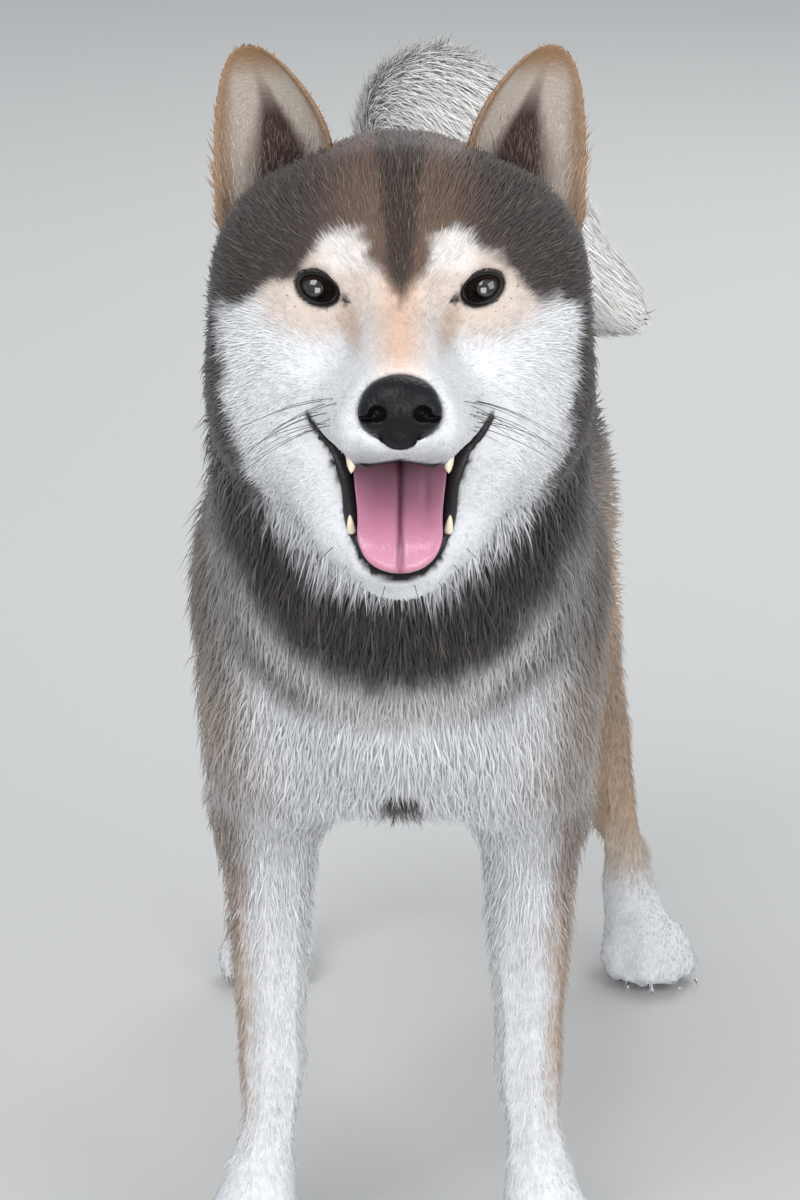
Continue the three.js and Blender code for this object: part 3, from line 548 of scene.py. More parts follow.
    def _past(self, head: Array, loop: tuple[float, float, float]) -> Array:
        """How far outside one of the collar's loops each place is, in millimetres.

        Args:
            head: Places in the head's frame.
            loop: The loop's middle height, its half width and its depth below the middle.

        Returns:
            Distances, below 0 inside the loop.
        """
        middle, half, deep = loop
        fall = np.maximum(middle - head[:, 2], 0.0) / deep
        return (np.hypot(np.abs(head[:, 0]) / half, fall) - 1.0) * half

    def mouth(self, head: Array, colour: Array) -> Array:
        """Lays the dark lips and the inside of the mouth over the coat's colours.

        Args:
            head: Places in the head's frame.
            colour: The coat's colours there.

        Returns:
            Linear colours.
        """
        x, y, z = np.abs(head[:, 0]), head[:, 1], head[:, 2]
        inside = mouth_depth(head)
        near = (y < 24.0) & (y > -78.0) & (z < -38.0) & (z > -104.0) & (x < 42.0)
        reach = np.where(z < -62.0, 3.4, 1.8)
        colour = mix(colour, LIP, np.where(near, ramp(inside + reach, 0.0, 1.2), 0.0))
        return mix(colour, GUM, np.where(near, ramp(inside, 3.0, 7.0), 0.0))

    def ear(self, head: Array, facing: Array) -> Array:
        """Colours of the ears: tan rims, pale hair in front and painted shade in the cup's hollow.

        Args:
            head: Places in the head's frame.
            facing: How far the surface there faces the back of the cup, -1 in front.

        Returns:
            Linear colours.
        """
        t = ear_share(head)
        t_in = np.clip(t, 0, 1)
        bow = np.sin(math.pi * t_in)
        wide = EAR_HALF * np.sqrt(np.maximum(0.012, 1 - t_in ** 2.4)) * (0.95 + 0.05 * bow)
        lean = 1.5 - 3.5 * bow
        route = EAR_ROOT + (EAR_TIP - EAR_ROOT) * t_in[:, None]
        across = (np.abs(head[:, 0]) - route[:, 0]) * math.cos(EAR_TURN)
        across += (head[:, 1] - route[:, 1] - 8.0 * bow * (1 - t_in)) * math.sin(EAR_TURN)
        back = mix(even(CROWN_SIDE, head), EAR_RIM, 0.75 * ramp(t, 0.3, 0.8))
        inner = mix(even(EAR_PALE, head), EAR_RIM, 0.9 * ramp(np.abs(across - lean) / wide, 0.66, 0.9))
        inner = mix(inner, EAR_RIM, ramp(t, 0.78, 0.96))
        # Painted shade down the middle of the cup's hollow, widest near the root
        reach = 0.7 - 0.52 * ramp(t, 0.3, 0.85)
        deep = ramp(np.abs(across - lean - 2.0) / wide, reach, reach * 0.3) * ramp(t, 0.95, 0.55)
        inner = mix(inner, EAR_HOLLOW_SHADE, np.clip(deep * 1.1, 0, 1))
        colour = mix(back, inner, ramp(-facing, -0.05, 0.35))
        return mix(colour, CROWN_SIDE, ramp(t, 0.1, 0.0) * ramp(across, 12.0, 0.0))

    def brush(self, body: Array) -> Array:
        """Colours of the tail: white outside the curl, painted shade on the hair inside the curl, and
        grey-tan coat near the root.

        Args:
            body: Places in the body's frame.

        Returns:
            Linear colours.
        """
        index = self.tail.nearest(body)
        off = unit(body - self.tail.points[index])
        middle = np.array([40.0, 305.0, 385.0])
        out = unit(self.tail.points[index] - middle)
        # Painted shade: grey on the hair that faces the middle of the curl
        facing = np.sum(off * out, axis=1) + 0.25 * noise(body, 24.0, 21)
        white = ramp(facing, -0.98, -0.7)
        colour = mix(even(TAIL_CURL_SHADE, body), TAIL_WHITE, white)
        root = ramp(index.astype(float), 42.0, 10.0) * ramp(off[:, 0], -0.2, 0.6)
        return mix(colour, TAIL_ROOT, 0.5 * root)


# The right half of the mouth's opening at its front, from the upper lip to the corner and the chin
MOUTH_OUTLINE = np.array(
    [
        (0.0, -55.5),
        (12.0, -58.0),
        (22.0, -59.0),
        (29.5, -54.5),
        (36.5, -43.0),
        (31.5, -54.0),
        (25.6, -64.0),
        (20.4, -76.0),
        (18.0, -86.0),
        (13.8, -93.0),
        (8.0, -96.8),
        (0.0, -98.0),
    ]
)
MOUTH_CORNER = 4
MOUTH_MIDDLE = np.array([0.0, -72.0])


def mouth_outline(y: Array) -> Array:
    """The right half of the mouth's opening at each depth y of the head's frame.

    Args:
        y: Depths in millimetres.

    Returns:
        For each depth, the outline's points across and up.
    """
    t = ((y - 14.0) / -58.0)[:, None, None]
    back = np.stack([MOUTH_OUTLINE[:, 0] * 0.86, -52.0 + (MOUTH_OUTLINE[:, 1] + 52.0) * 0.34], 1)
    return back[None] + (MOUTH_OUTLINE - back)[None] * t


def mouth_depth(head: Array) -> Array:
    """How far inside the mouth's opening each place is; below 0 it is outside.

    Args:
        head: Places in the head's frame, in millimetres.

    Returns:
        Depth in millimetres.
    """
    x, y, z = np.abs(head[:, 0]), head[:, 1], head[:, 2]
    ring = mouth_outline(y)
    here = np.stack([x, z], 1)[:, None]
    a, b = ring[:, :-1], ring[:, 1:]
    edge = b - a
    along = np.clip(np.sum((here - a) * edge, 2) / np.maximum(np.sum(edge * edge, 2), 1e-6), 0, 1)
    distance = np.linalg.norm(here - a - edge * along[..., None], axis=2).min(1)
    crosses = ((a[..., 1] > z[:, None]) != (b[..., 1] > z[:, None])) & (
        x[:, None] < a[..., 0] + (z[:, None] - a[..., 1]) * edge[..., 0] / np.where(
            np.abs(edge[..., 1]) < 1e-6, 1e-6, edge[..., 1]
        )
    )
    inside = crosses.sum(1) % 2 == 1
    depth = np.where(inside, distance, -distance)
    return np.where((y > 14.0), np.minimum(depth, 14.0 - y), depth)


def eye_almond(head: Array) -> Array:
    """How far out each place is from the middle of the eye's opening, 1 on the lids' edge.

    Args:
        head: Places in the head's frame.

    Returns:
        One value for each place.
    """
    out = np.abs(head[:, 0]) - EYE_CENTRE[0]
    up = head[:, 2] - LID_SLOPE * out - 0.6
    return np.hypot(out / LID_HALF, up / np.where(up > 0, 0.72 * LID_HALF, 0.78 * LID_HALF))


def tear_duct(head: Array) -> Array:
    """How far out each place is from the eye's inner corner, 1 on the corner's edge.

    Args:
        head: Places in the head's frame.

    Returns:
        One value for each place.
    """
    out = np.abs(head[:, 0]) - EYE_CENTRE[0] + 10.2
    up = head[:, 2] - LID_SLOPE * (out - 10.2) + 0.6
    return np.hypot(out / 2.6, up / 1.5)


@dataclass(frozen=True)
class Lie:
    """The way the coat lies at each place."""

    frame: Frame

    def head(self, head: Array) -> Array:
        """Directions on the head: away from the nose, up the forehead and back over the cheeks.

        Args:
            head: Places in the head's frame.

        Returns:
            Directions in the head's frame.
        """
        x, y, z = head[:, 0], head[:, 1], head[:, 2]
        away = unit(head - np.array([0.0, -70.0, -34.0]))
        back = unit(np.stack([0.25 * np.sign(x), np.full(len(x), 1.0), np.full(len(x), 0.1)], 1))
        flow = mix(away, back, 0.35 * ramp(y, -40.0, 40.0))
        cheek = ramp(np.abs(x), 26.0, 50.0) * ramp(z, 0.0, -30.0)
        down = unit(np.stack([0.5 * np.sign(x), np.full(len(x), 0.7), np.full(len(x), -0.6)], 1))
        flow = mix(flow, down, 0.7 * cheek)
        chin = ramp(z, -70.0, -92.0)
        return unit(mix(flow, unit(np.stack([0.2 * np.sign(x), 0 * x + 0.8, 0 * x - 0.7], 1)), 0.7 * chin))

    def body(self, body: Array) -> Array:
        """Directions on the neck, trunk and legs.

        Args:
            body: Places in the body's frame.

        Returns:
            Directions in the scene.
        """
        x, y, z = body[:, 0], body[:, 1], body[:, 2]
        size = len(x)
        rearward = unit(np.stack([np.zeros(size), np.ones(size), -0.28 * ramp(z, 380.0, 260.0)], 1))
        down = unit(np.stack([0.12 * np.sign(x), 0.15 * np.ones(size), -np.ones(size)], 1))
        neck = unit(np.stack([0.1 * np.sign(x), 0.72 * np.ones(size), -0.72 * np.ones(size)], 1))
        flow = mix(down, rearward, ramp(y, -30.0, 60.0) * ramp(z, 170.0, 240.0))
        flow = mix(flow, neck, ramp(z, 330.0, 380.0) * ramp(y, 40.0, -20.0) * ramp(y, -150.0, -60.0))
        rump = unit(np.stack([np.zeros(size), 0.45 * np.ones(size), -np.ones(size)], 1))
        flow = mix(flow, rump, ramp(y, 285.0, 325.0) * ramp(z, 380.0, 330.0))
        legs = ramp(z, 215.0, 185.0)
        flow = mix(flow, unit(np.stack([0 * x, 0.12 + 0 * x, -1.0 + 0 * x], 1)), legs)
        toes = ramp(z, 38.0, 22.0)
        return unit(mix(flow, unit(np.stack([0 * x, -0.9 + 0 * x, -0.35 + 0 * x], 1)), toes))

    def all(self, body: Array) -> Array:
        """Directions on the whole skin.

        Args:
            body: Places in the body's frame.

        Returns:
            Directions in the scene.
        """
        head = self.frame.head(body)
        share = ramp(past_cut(head), -12.0, 16.0)
        return unit(mix(self.body(body), self.frame.turn_out_of_head(self.head(head)), share))

    def ears(self, head: Array) -> Array:
        """Directions on the ears: up, and out to the rims.

        Args:
            head: Places in the head's frame.

        Returns:
            Directions in the scene.
        """
        side = np.sign(head[:, 0])
        centre = 48.5 + (EAR_TIP - EAR_ROOT)[0] * np.clip(ear_share(head), 0, 1)
        out = np.clip((np.abs(head[:, 0]) - centre) / 24.0, -1, 1) * side
        flow = np.stack([0.55 * out, -0.1 + 0 * out, 1.0 + 0 * out], 1)
        return unit(self.frame.turn_out_of_head(unit(flow)))


def coat_depth(frame: Frame, body: Array) -> Array:
    """How far under the solids the skin lies, in millimetres.

    Args:
        frame: The animal's frame.
        body: Places in the body's frame.

    Returns:
        Depth at each place.
    """
    head = frame.head(body)
    x, y, z = np.abs(head[:, 0]), head[:, 1], head[:, 2]
    face = 1.0 + 1.6 * ramp(y, -30.0, 20.0) + 4.0 * ramp(y, 20.0, 60.0) * ramp(z, 20.0, -20.0)
    eye_gap = np.maximum(np.hypot(x - EYE_CENTRE[0], z) - 9.0, 0.0)
    face = np.minimum(face, 0.35 + 0.16 * eye_gap + 4.0 * (y > 30.0))
    face = np.where(mouth_depth(head) > -7.0, 0.5, face)
    face = np.where(np.linalg.norm(head - NOSE_AT, axis=1) < 24.0, np.minimum(face, 0.6), face)
    py, pz = body[:, 1], body[:, 2]
    trunk = 8.0 + 3.0 * ramp(pz, 300.0, 380.0) * ramp(py, 60.0, 0.0)
    trunk = trunk * (1.0 - 0.3 * ramp(pz, 240.0, 200.0))
    trunk = trunk + (5.5 - trunk) * ramp(pz, 236.0, 176.0)
    trunk = trunk + (2.6 - trunk) * ramp(pz, 176.0, 120.0)
    trunk = trunk + (1.3 - trunk) * ramp(pz, 60.0, 30.0)
    return trunk + (face - trunk) * ramp(past_cut(head), -6.0, 22.0)


def read_points(mesh: bpy.types.Mesh) -> Array:
    """The mesh's points as an array, in metres.

    Args:
        mesh: The mesh.

    Returns:
        One row for each point.
    """
    flat = np.zeros(len(mesh.vertices) * 3, np.float32)
    mesh.vertices.foreach_get("co", flat)
    return flat.reshape(-1, 3).astype(float)


def write_points(mesh: bpy.types.Mesh, points: Array) -> None:
    """Sets the mesh's points."""
    mesh.vertices.foreach_set("co", points.astype(np.float32).ravel())
    mesh.update()


def read_normals(mesh: bpy.types.Mesh) -> Array:
    """The mesh's point normals.

    Args:
        mesh: The mesh.

    Returns:
        One row for each point.
    """
    flat = np.zeros(len(mesh.vertices) * 3, np.float32)
    mesh.vertex_normals.foreach_get("vector", flat)
    return flat.reshape(-1, 3).astype(float)


def placed(name: str, data: bpy.types.ID) -> bpy.types.Object:
    """Puts a mesh, lamp or camera into the scene as an object.

    Args:
        name: The object's name.
        data: What it shows.

    Returns:
        The object.
    """
    piece = bpy.data.objects.new(name, data)
    bpy.context.scene.collection.objects.link(piece)
    return piece


def mesh_of(name: str, work: bmesh.types.BMesh) -> bpy.types.Mesh:
    """Turns a work mesh into a mesh and frees it.

    Args:
        name: The mesh's name.
        work: The work mesh.

    Returns:
        The mesh.
    """
    mesh = bpy.data.meshes.new(name)
    work.to_mesh(mesh)
    work.free()
    return mesh


def new_object(name: str, points: Array, faces: Sequence[Sequence[int]]) -> bpy.types.Object:
    """Makes a linked object from points in metres and faces.

    Args:
        name: The object's name.
        points: Places in metres.
        faces: The points of each face.

    Returns:
        The object.
    """
    mesh = bpy.data.meshes.new(name)
    mesh.from_pydata([tuple(p) for p in points], [], [tuple(f) for f in faces])
    mesh.validate()
    mesh.update()
    return placed(name, mesh)


def shade_smooth(piece: bpy.types.Object) -> None:
    """Gives every face smooth shading."""
    piece.data.polygons.foreach_set("use_smooth", [True] * len(piece.data.polygons))
    piece.data.update()


def paint(piece: bpy.types.Object, colours: Array) -> None:
    """Writes one colour for each point into the attribute that the materials read.

    Args:
        piece: The object.
        colours: Linear colours, one row for each point.
    """
    attribute = piece.data.color_attributes.new("Coat", "FLOAT_COLOR", "POINT")
    rgba = np.ones((len(piece.data.vertices), 4), np.float32)
    rgba[:, :3] = np.clip(colours, 0.0, 1.0)
    attribute.data.foreach_set("color", rgba.ravel())


def joined_copy(name: str, nodes: Sequence[str], grow: float) -> bpy.types.Object:
    """Copies solids into one object, each swollen a little so that the gaps between them close.

    Args:
        name: The new object's name.
        nodes: The solids.
        grow: How far each is swollen, in millimetres.

    Returns:
        The object.
    """
    work = bmesh.new()
    for node in nodes:
        source = bpy.data.objects[node]
        part = bmesh.new()
        part.from_mesh(source.data)
        bmesh.ops.remove_doubles(part, verts=part.verts, dist=1e-6)
        bmesh.ops.recalc_face_normals(part, faces=part.faces)
        part.normal_update()
        for vertex in part.verts:
            vertex.co += vertex.normal * grow * MM
        held = mesh_of("held", part)
        work.from_mesh(held)
        bpy.data.meshes.remove(held)
    return placed(name, mesh_of(name, work))


def apply_modifiers(piece: bpy.types.Object) -> None:
    """Replaces the object's mesh by what its modifiers make of it.

    Args:
        piece: The object.
    """
    graph = bpy.context.evaluated_depsgraph_get()
    made = bpy.data.meshes.new_from_object(piece.evaluated_get(graph))
    old = piece.data
    piece.modifiers.clear()
    piece.data = made
    bpy.data.meshes.remove(old)


def remesh(piece: bpy.types.Object, voxel: float, rounds: int) -> None:
    """Remeshes by voxels and evens the surface out.

    Args:
        piece: The object.
        voxel: The voxel's size in millimetres.
        rounds: How often the surface is smoothed.
    """
    grid = piece.modifiers.new("grid", "REMESH")
    grid.mode = "VOXEL"
    grid.voxel_size = voxel * MM
    grid.use_smooth_shade = True
    smooth = piece.modifiers.new("even", "SMOOTH")
    smooth.factor = 0.5
    smooth.iterations = rounds
    apply_modifiers(piece)


def edge_average(mesh: bpy.types.Mesh, values: Array, rounds: int) -> Array:
    """Evens out a value on the mesh's points by averaging along edges.

    Args:
        mesh: The mesh.
        values: One row for each point.
        rounds: How often.

    Returns:
        The evened rows.
    """
    edges = np.zeros(len(mesh.edges) * 2, np.int64)
    mesh.edges.foreach_get("vertices", edges)
    a, b = edges.reshape(-1, 2).T
    count = np.bincount(a, minlength=len(values)) + np.bincount(b, minlength=len(values))
    out = values.astype(float)
    for _ in range(rounds):
        total = np.zeros_like(out)
        for axis in range(out.shape[1]):
            total[:, axis] = np.bincount(a, out[b, axis], len(out)) + np.bincount(b, out[a, axis], len(out))
        out = 0.5 * out + 0.5 * total / np.maximum(count, 1)[:, None]
    return out


def unwrap(piece: bpy.types.Object) -> None:
    """Gives the skin its own unwrap, named OFBake.

    Args:
        piece: The skin.
    """
    bpy.ops.object.select_all(action="DESELECT")
    piece.select_set(True)
    bpy.context.view_layer.objects.active = piece
    piece.data.uv_layers.new(name="OFBake")
    bpy.ops.object.mode_set(mode="EDIT")
    bpy.ops.mesh.select_all(action="SELECT")
    bpy.ops.uv.smart_project(angle_limit=math.radians(66.0), island_margin=0.001)
    bpy.ops.object.mode_set(mode="OBJECT")


@dataclass(frozen=True)
class Surface:
    """A skin's triangles, ready for tufts to be rooted on them."""

    points: Array
    normals: Array
    corners: Array
    maps: Array
    areas: Array

    @classmethod
    def of(cls, piece: bpy.types.Object) -> "Surface":
        """Reads a skin object.

        Args:
            piece: The skin, with its unwrap.

        Returns:
            Its surface.
        """
        mesh = piece.data
        mesh.calc_loop_triangles()
        count = len(mesh.loop_triangles)
        corners = np.zeros(count * 3, np.int32)
        loops = np.zeros(count * 3, np.int32)
        mesh.loop_triangles.foreach_get("vertices", corners)
        mesh.loop_triangles.foreach_get("loops", loops)
        uv = np.zeros(len(mesh.loops) * 2, np.float32)
        mesh.uv_layers["OFBake"].data.foreach_get("uv", uv)
        points = read_points(mesh)
        corners = corners.reshape(-1, 3)
        a, b, c = (points[corners[:, n]] for n in range(3))
        areas = 0.5 * np.linalg.norm(np.cross(b - a, c - a), axis=1) / MM ** 2
        maps = uv.reshape(-1, 2)[loops.reshape(-1, 3)]
        return cls(points, read_normals(mesh), corners, maps, areas)

    def scatter(self, weight: Array, count: int, seed: int) -> tuple[Array, Array, Array]:
        """Draws places on the surface.

        Args:
            weight: How dense the places are at each point of the mesh.
            count: How many places.
            seed: The draw.

        Returns:
            Places in metres, their normals and their places on the unwrap.
        """
        draw = np.random.RandomState(seed)
        share = self.areas * weight[self.corners].mean(1)
        steps = np.cumsum(share)
        picks = (np.arange(count) + draw.uniform(0, 1, count)) * steps[-1] / count
        faces = np.clip(np.searchsorted(steps, picks), 0, len(steps) - 1)
        u, v = np.sqrt(draw.uniform(0, 1, count)), draw.uniform(0, 1, count)
        parts = np.stack([1 - u, u * (1 - v), u * v], 1)[..., None]
        at = self.corners[faces]
        return (
            (self.points[at] * parts).sum(1),
            unit((self.normals[at] * parts).sum(1)),
            (self.maps[faces] * parts).sum(1),
        )


@dataclass(frozen=True)
class TuftStyle:
    """Sizes of one kind of tuft, in millimetres, and how far it is shaded like the skin below it."""

    length: Array
    width: Array
    lift: Array
    spread: float = 0.25
    rings: int = 2
    soft: float = 0.62


@dataclass(frozen=True)
class Coat:
    """Makes tufts as joined meshes of slim, tapered, three-sided blades."""

    material: bpy.types.Material
    bend: float = 0.45
    sunk: float = 0.4
    patch: float = 0.0012

    def build(
        self,
        name: str,
        roots: Array,
        normals: Array,
        maps: Array,
        lie: Array,
        style: TuftStyle,
        colours: tuple[Array, Array],
        seed: int,
    ) -> bpy.types.Object:
        """Builds one coat piece.

        Args:
            name: The piece's name.
            roots: Where each tuft grows, in metres.
            normals: The skin's normals there.
            maps: Places on the skin's unwrap.
            lie: The way the coat lies there.
            style: The tufts' sizes.
            colours: The colours at the roots and at the tips.
            seed: The draw.

        Returns:
            The piece.
        """
        draw = np.random.RandomState(seed)
        count = len(roots)
        lay = lie + style.spread * draw.normal(size=(count, 3))
        lay = unit(lay - normals * np.sum(lay * normals, 1, keepdims=True))
        across = np.cross(normals, lay)
        turn = draw.normal(0, 0.22, count)[:, None]
        across = unit(across * np.cos(turn) + normals * np.sin(turn))
        length = style.length * np.clip(1 + 0.22 * draw.normal(size=count), 0.5, 1.6)
        width = style.width * np.clip(1 + 0.2 * draw.normal(size=count), 0.6, 1.5)
        lift = np.clip(style.lift * (1 + 0.25 * draw.normal(size=count)), 0.03, 1.3)
        stations = np.linspace(0.0, 1.0, style.rings + 1)
        positions, shades = [], []
        corner_turns = (0.0, 2.0 * math.pi / 3.0, 4.0 * math.pi / 3.0)
        root_colour, tip_colour = colours
        vary = np.clip(1 + 0.09 * draw.normal(size=(count, 1)), 0.7, 1.3)
        dark = 1.0 - np.clip(root_colour.mean(1) / 0.2, 0, 1)
        grizzle = draw.normal(size=count)
        tip_colour = mix(tip_colour, GRIZZLE, 0.42 * dark * np.clip(grizzle - 0.3, 0, 1.6))
        tip_colour = tip_colour * (1 - 0.35 * dark * np.clip(-grizzle, 0, 1.4))[:, None]
        for step in stations:
            rise = lift * (1.0 + self.bend - self.bend * 1.6 * step)
            reach = (length * step)[:, None] * MM
            centre = roots - normals * self.sunk * MM + reach * (
                lay * np.cos(rise)[:, None] + normals * np.sin(rise)[:, None]
            )
            shade = mix(root_colour, tip_colour, np.full(count, step ** 1.3)) * vary
            if step == 1.0:
                positions.append(centre[:, None])
                shades.append(shade[:, None])
                continue
            half = (0.5 * width * (0.75 + 0.5 * step) * (1 - step ** 2))[:, None] * MM
            up = np.cross(lay, across)
            ring = [
                centre + across * half * math.cos(turn_at) + up * half * 0.42 * math.sin(turn_at)
                for turn_at in corner_turns
            ]
            positions.append(np.stack(ring, 1))
            shades.append(np.repeat(shade[:, None], 3, 1))
        points = np.concatenate(positions, 1)
        shade = np.concatenate(shades, 1)
        faces = []
        for a, b, c, d in ring_faces(style.rings, 3):
            faces += [(a, b, c), (a, c, d)]
        last = (style.rings - 1) * 3
        faces += [(last + n, last + (n + 1) % 3, last + 3) for n in range(3)]
        return self._mesh(name, points, shade, np.array(faces), maps, normals * style.soft)

    def _mesh(
        self, name: str, points: Array, shade: Array, faces: Array, maps: Array, normals: Array
    ) -> bpy.types.Object:
        """Writes the arrays into one mesh object.

        Args:
            name: The piece's name.
            points: The points of each tuft, in metres.
            shade: Their colours.
            faces: The faces of one tuft.
            maps: Where each tuft lies on the skin's unwrap.
            normals: How far, and which way, each tuft's shading is pulled to the skin's.

        Returns:
            The piece.
        """
        count, per = points.shape[:2]
        corners = (faces[None] + (np.arange(count) * per)[:, None, None]).reshape(-1)
        mesh = bpy.data.meshes.new(name)
        mesh.vertices.add(count * per)
        mesh.vertices.foreach_set("co", points.astype(np.float32).ravel())
        mesh.loops.add(len(corners))
        mesh.loops.foreach_set("vertex_index", corners.astype(np.int32))
        triangles = len(corners) // 3
        mesh.polygons.add(triangles)
        mesh.polygons.foreach_set("loop_start", np.arange(0, len(corners), 3, dtype=np.int32))
        mesh.polygons.foreach_set("use_smooth", np.ones(triangles, bool))
        layer = mesh.uv_layers.new(name="OFBake")
        angle = np.linspace(0, 2 * math.pi, per, endpoint=False)
        patch = np.stack([np.cos(angle), np.sin(angle)], 1) * self.patch
        uv = (maps[:, None] + patch[None]).reshape(-1, 2)[corners]
        layer.data.foreach_set("uv", uv.astype(np.float32).ravel())
        mesh.update(calc_edges=True)
        pull = np.repeat(normals, per, 0)
        share = 1.0 - np.linalg.norm(pull, axis=1, keepdims=True)
        soft = unit(read_normals(mesh) * share + pull)
        mesh.normals_split_custom_set_from_vertices(soft.astype(np.float32))
        piece = placed(name, mesh)
        paint(piece, shade.reshape(-1, 3))
        mesh.materials.append(self.material)
        return piece


@dataclass(frozen=True)
class Finish:
    """The sockets of one finish."""

    roughness: float
    specular: float = 0.5
    coat: float = 0.0
    sheen: float = 0.0
    subsurface: float = 0.0
    bump: float = 0.0
    bump_scale: float = 400.0


class Finishes:
    """Makes the materials, each with its own nodes."""

    def from_attribute(self, name: str, finish: Finish, tone: float = 1.0) -> bpy.types.Material:
        """A material whose colour comes from the painted attribute.

        Args:
            name: The material's name.
            finish: Its sockets.
            tone: How far noise varies its tone.

        Returns:
            The material.
        """
        material, shader = self._shader(name, finish)
        nodes, links = material.node_tree.nodes, material.node_tree.links
        colour = nodes.new("ShaderNodeVertexColor")
        colour.layer_name = "Coat"
        vary = nodes.new("ShaderNodeTexNoise")
        vary.inputs["Scale"].default_value = 260.0
        place = nodes.new("ShaderNodeTexCoord")
        links.new(place.outputs["Object"], vary.inputs["Vector"])
        remap = nodes.new("ShaderNodeMapRange")
        remap.inputs["To Min"].default_value = 1.0 - 0.14 * tone
        remap.inputs["To Max"].default_value = 1.0 + 0.1 * tone
        links.new(vary.outputs["Fac"], remap.inputs["Value"])
        times = nodes.new("ShaderNodeMix")
        times.data_type = "RGBA"
        times.blend_type = "MULTIPLY"
        times.inputs["Factor"].default_value = 1.0
        links.new(colour.outputs["Color"], times.inputs["A"])
        links.new(remap.outputs["Result"], times.inputs["B"])
        links.new(times.outputs["Result"], shader.inputs["Base Color"])
        return material

    def plain(
        self, name: str, colour: Array, finish: Finish, other: Array | None = None
    ) -> bpy.types.Material:
        """A material of two tones that mix in patches.

        Args:
            name: The material's name.
            colour: The first tone.
            finish: Its sockets.
            other: The second tone, or a darker first one.

        Returns:
            The material.
        """
        material, shader = self._shader(name, finish)
        nodes, links = material.node_tree.nodes, material.node_tree.links
        place = nodes.new("ShaderNodeTexCoord")
        vary = nodes.new("ShaderNodeTexNoise")
        vary.inputs["Scale"].default_value = 90.0
        vary.inputs["Detail"].default_value = 4.0
        links.new(place.outputs["Object"], vary.inputs["Vector"])
        blend = nodes.new("ShaderNodeMix")
        blend.data_type = "RGBA"
        links.new(vary.outputs["Fac"], blend.inputs["Factor"])
        blend.inputs["A"].default_value = (*colour, 1.0)
        blend.inputs["B"].default_value = (*(colour * 0.8 if other is None else other), 1.0)
        links.new(blend.outputs["Result"], shader.inputs["Base Color"])
        return material

    def _shader(self, name: str, finish: Finish) -> tuple[bpy.types.Material, bpy.types.Node]:
        """A new material with its surface shader and bump.

        Args:
            name: The material's name.
            finish: Its sockets.

        Returns:
            The material and its shader.
        """
        material = bpy.data.materials.new(name)
        material.use_nodes = True
        nodes, links = material.node_tree.nodes, material.node_tree.links
        shader = nodes["Principled BSDF"]
        shader.inputs["Roughness"].default_value = finish.roughness
        shader.inputs["Specular IOR Level"].default_value = finish.specular
        shader.inputs["Coat Weight"].default_value = finish.coat
        shader.inputs["Coat Roughness"].default_value = 0.05
        shader.inputs["Sheen Weight"].default_value = finish.sheen
        shader.inputs["Subsurface Weight"].default_value = finish.subsurface
        shader.inputs["Subsurface Scale"].default_value = 0.002
        if finish.bump:
            place = nodes.new("ShaderNodeTexCoord")
            grain = nodes.new("ShaderNodeTexVoronoi")
            grain.inputs["Scale"].default_value = finish.bump_scale
            raise_by = nodes.new("ShaderNodeBump")
            raise_by.inputs["Strength"].default_value = finish.bump
            raise_by.inputs["Distance"].default_value = 0.0004
            links.new(place.outputs["Object"], grain.inputs["Vector"])
            links.new(grain.outputs["Distance"], raise_by.inputs["Height"])
            links.new(raise_by.outputs["Normal"], shader.inputs["Normal"])
        return material, shader


def ring_faces(rings: int, sides: int, loop: bool = False) -> list[tuple[int, ...]]:
    """Four-sided faces between rings of points.

    Args:
        rings: How many rings there are.
        sides: How many points each has.
        loop: Whether the last ring joins the first.

    Returns:
        The faces.
    """
    faces: list[tuple[int, ...]] = []
    for ring in range(rings if loop else rings - 1):
        here, there = ring * sides, (ring + 1) % rings * sides
        for n in range(sides):
            after = (n + 1) % sides
            faces.append((here + n, here + after, there + after, there + n))
    return faces


def tube_faces(rings: int, sides: int) -> list[tuple[int, ...]]:
    """Faces of a tube, with a cap at both ends."""
    caps = [tuple(range(sides))[::-1], tuple(range((rings - 1) * sides, rings * sides))]
    return ring_faces(rings, sides) + caps


def swept_tube(
    path: Array, radii: Array, sides: int = 8, flat: float = 1.0, up: Array | None = None
) -> tuple[Array, list[tuple[int, ...]]]:
    """A tapered tube along a path, closed at both ends.

    Args:
        path: Points of the middle line.
        radii: The radius at each point.
        sides: How many sides it has.
        flat: Its thickness as a share of its width.
        up: The direction of its thickness.

    Returns:
        Points and faces.
    """
    along = unit(np.gradient(path, axis=0))
    guide = np.array([0.3, 0.2, 1.0]) if up is None else up
    side = unit(np.cross(along, guide))
    deep = np.cross(side, along)
    turns = np.linspace(0, 2 * math.pi, sides, endpoint=False)
    rings = (
        path[:, None]
        + side[:, None] * (radii[:, None] * np.cos(turns)[None])[..., None]
        + deep[:, None] * (flat * radii[:, None] * np.sin(turns)[None])[..., None]
    )
    return rings.reshape(-1, 3), tube_faces(len(path), sides)


def gather(name: str, parts: Sequence[tuple[Array, list[tuple[int, ...]]]]) -> bpy.types.Object:
    """Joins several point-and-face pairs into one object.

    Args:
        name: The object's name.
        parts: The pairs, with points in metres.

    Returns:
        The object.
    """
    points, faces, start = [], [], 0
    for part_points, part_faces in parts:
        points.append(part_points)
        faces += [tuple(n + start for n in face) for face in part_faces]
        start += len(part_points)
    piece = new_object(name, np.concatenate(points), faces)
    shade_smooth(piece)
    return piece


def settle_on(
    piece: bpy.types.Object, material: bpy.types.Material | None, slot: str | None, *nodes: str
) -> None:
    """Gives a piece its material and body, and hides the solids that it stands for.

    Args:
        piece: The piece.
        material: Its material, or None where it has one.
        slot: Not used.
        nodes: The solids that it stands for.
    """
    if material is not None and not piece.data.materials:
        piece.data.materials.append(material)
    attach(piece, BODY)
    if nodes:
        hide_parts(*nodes)


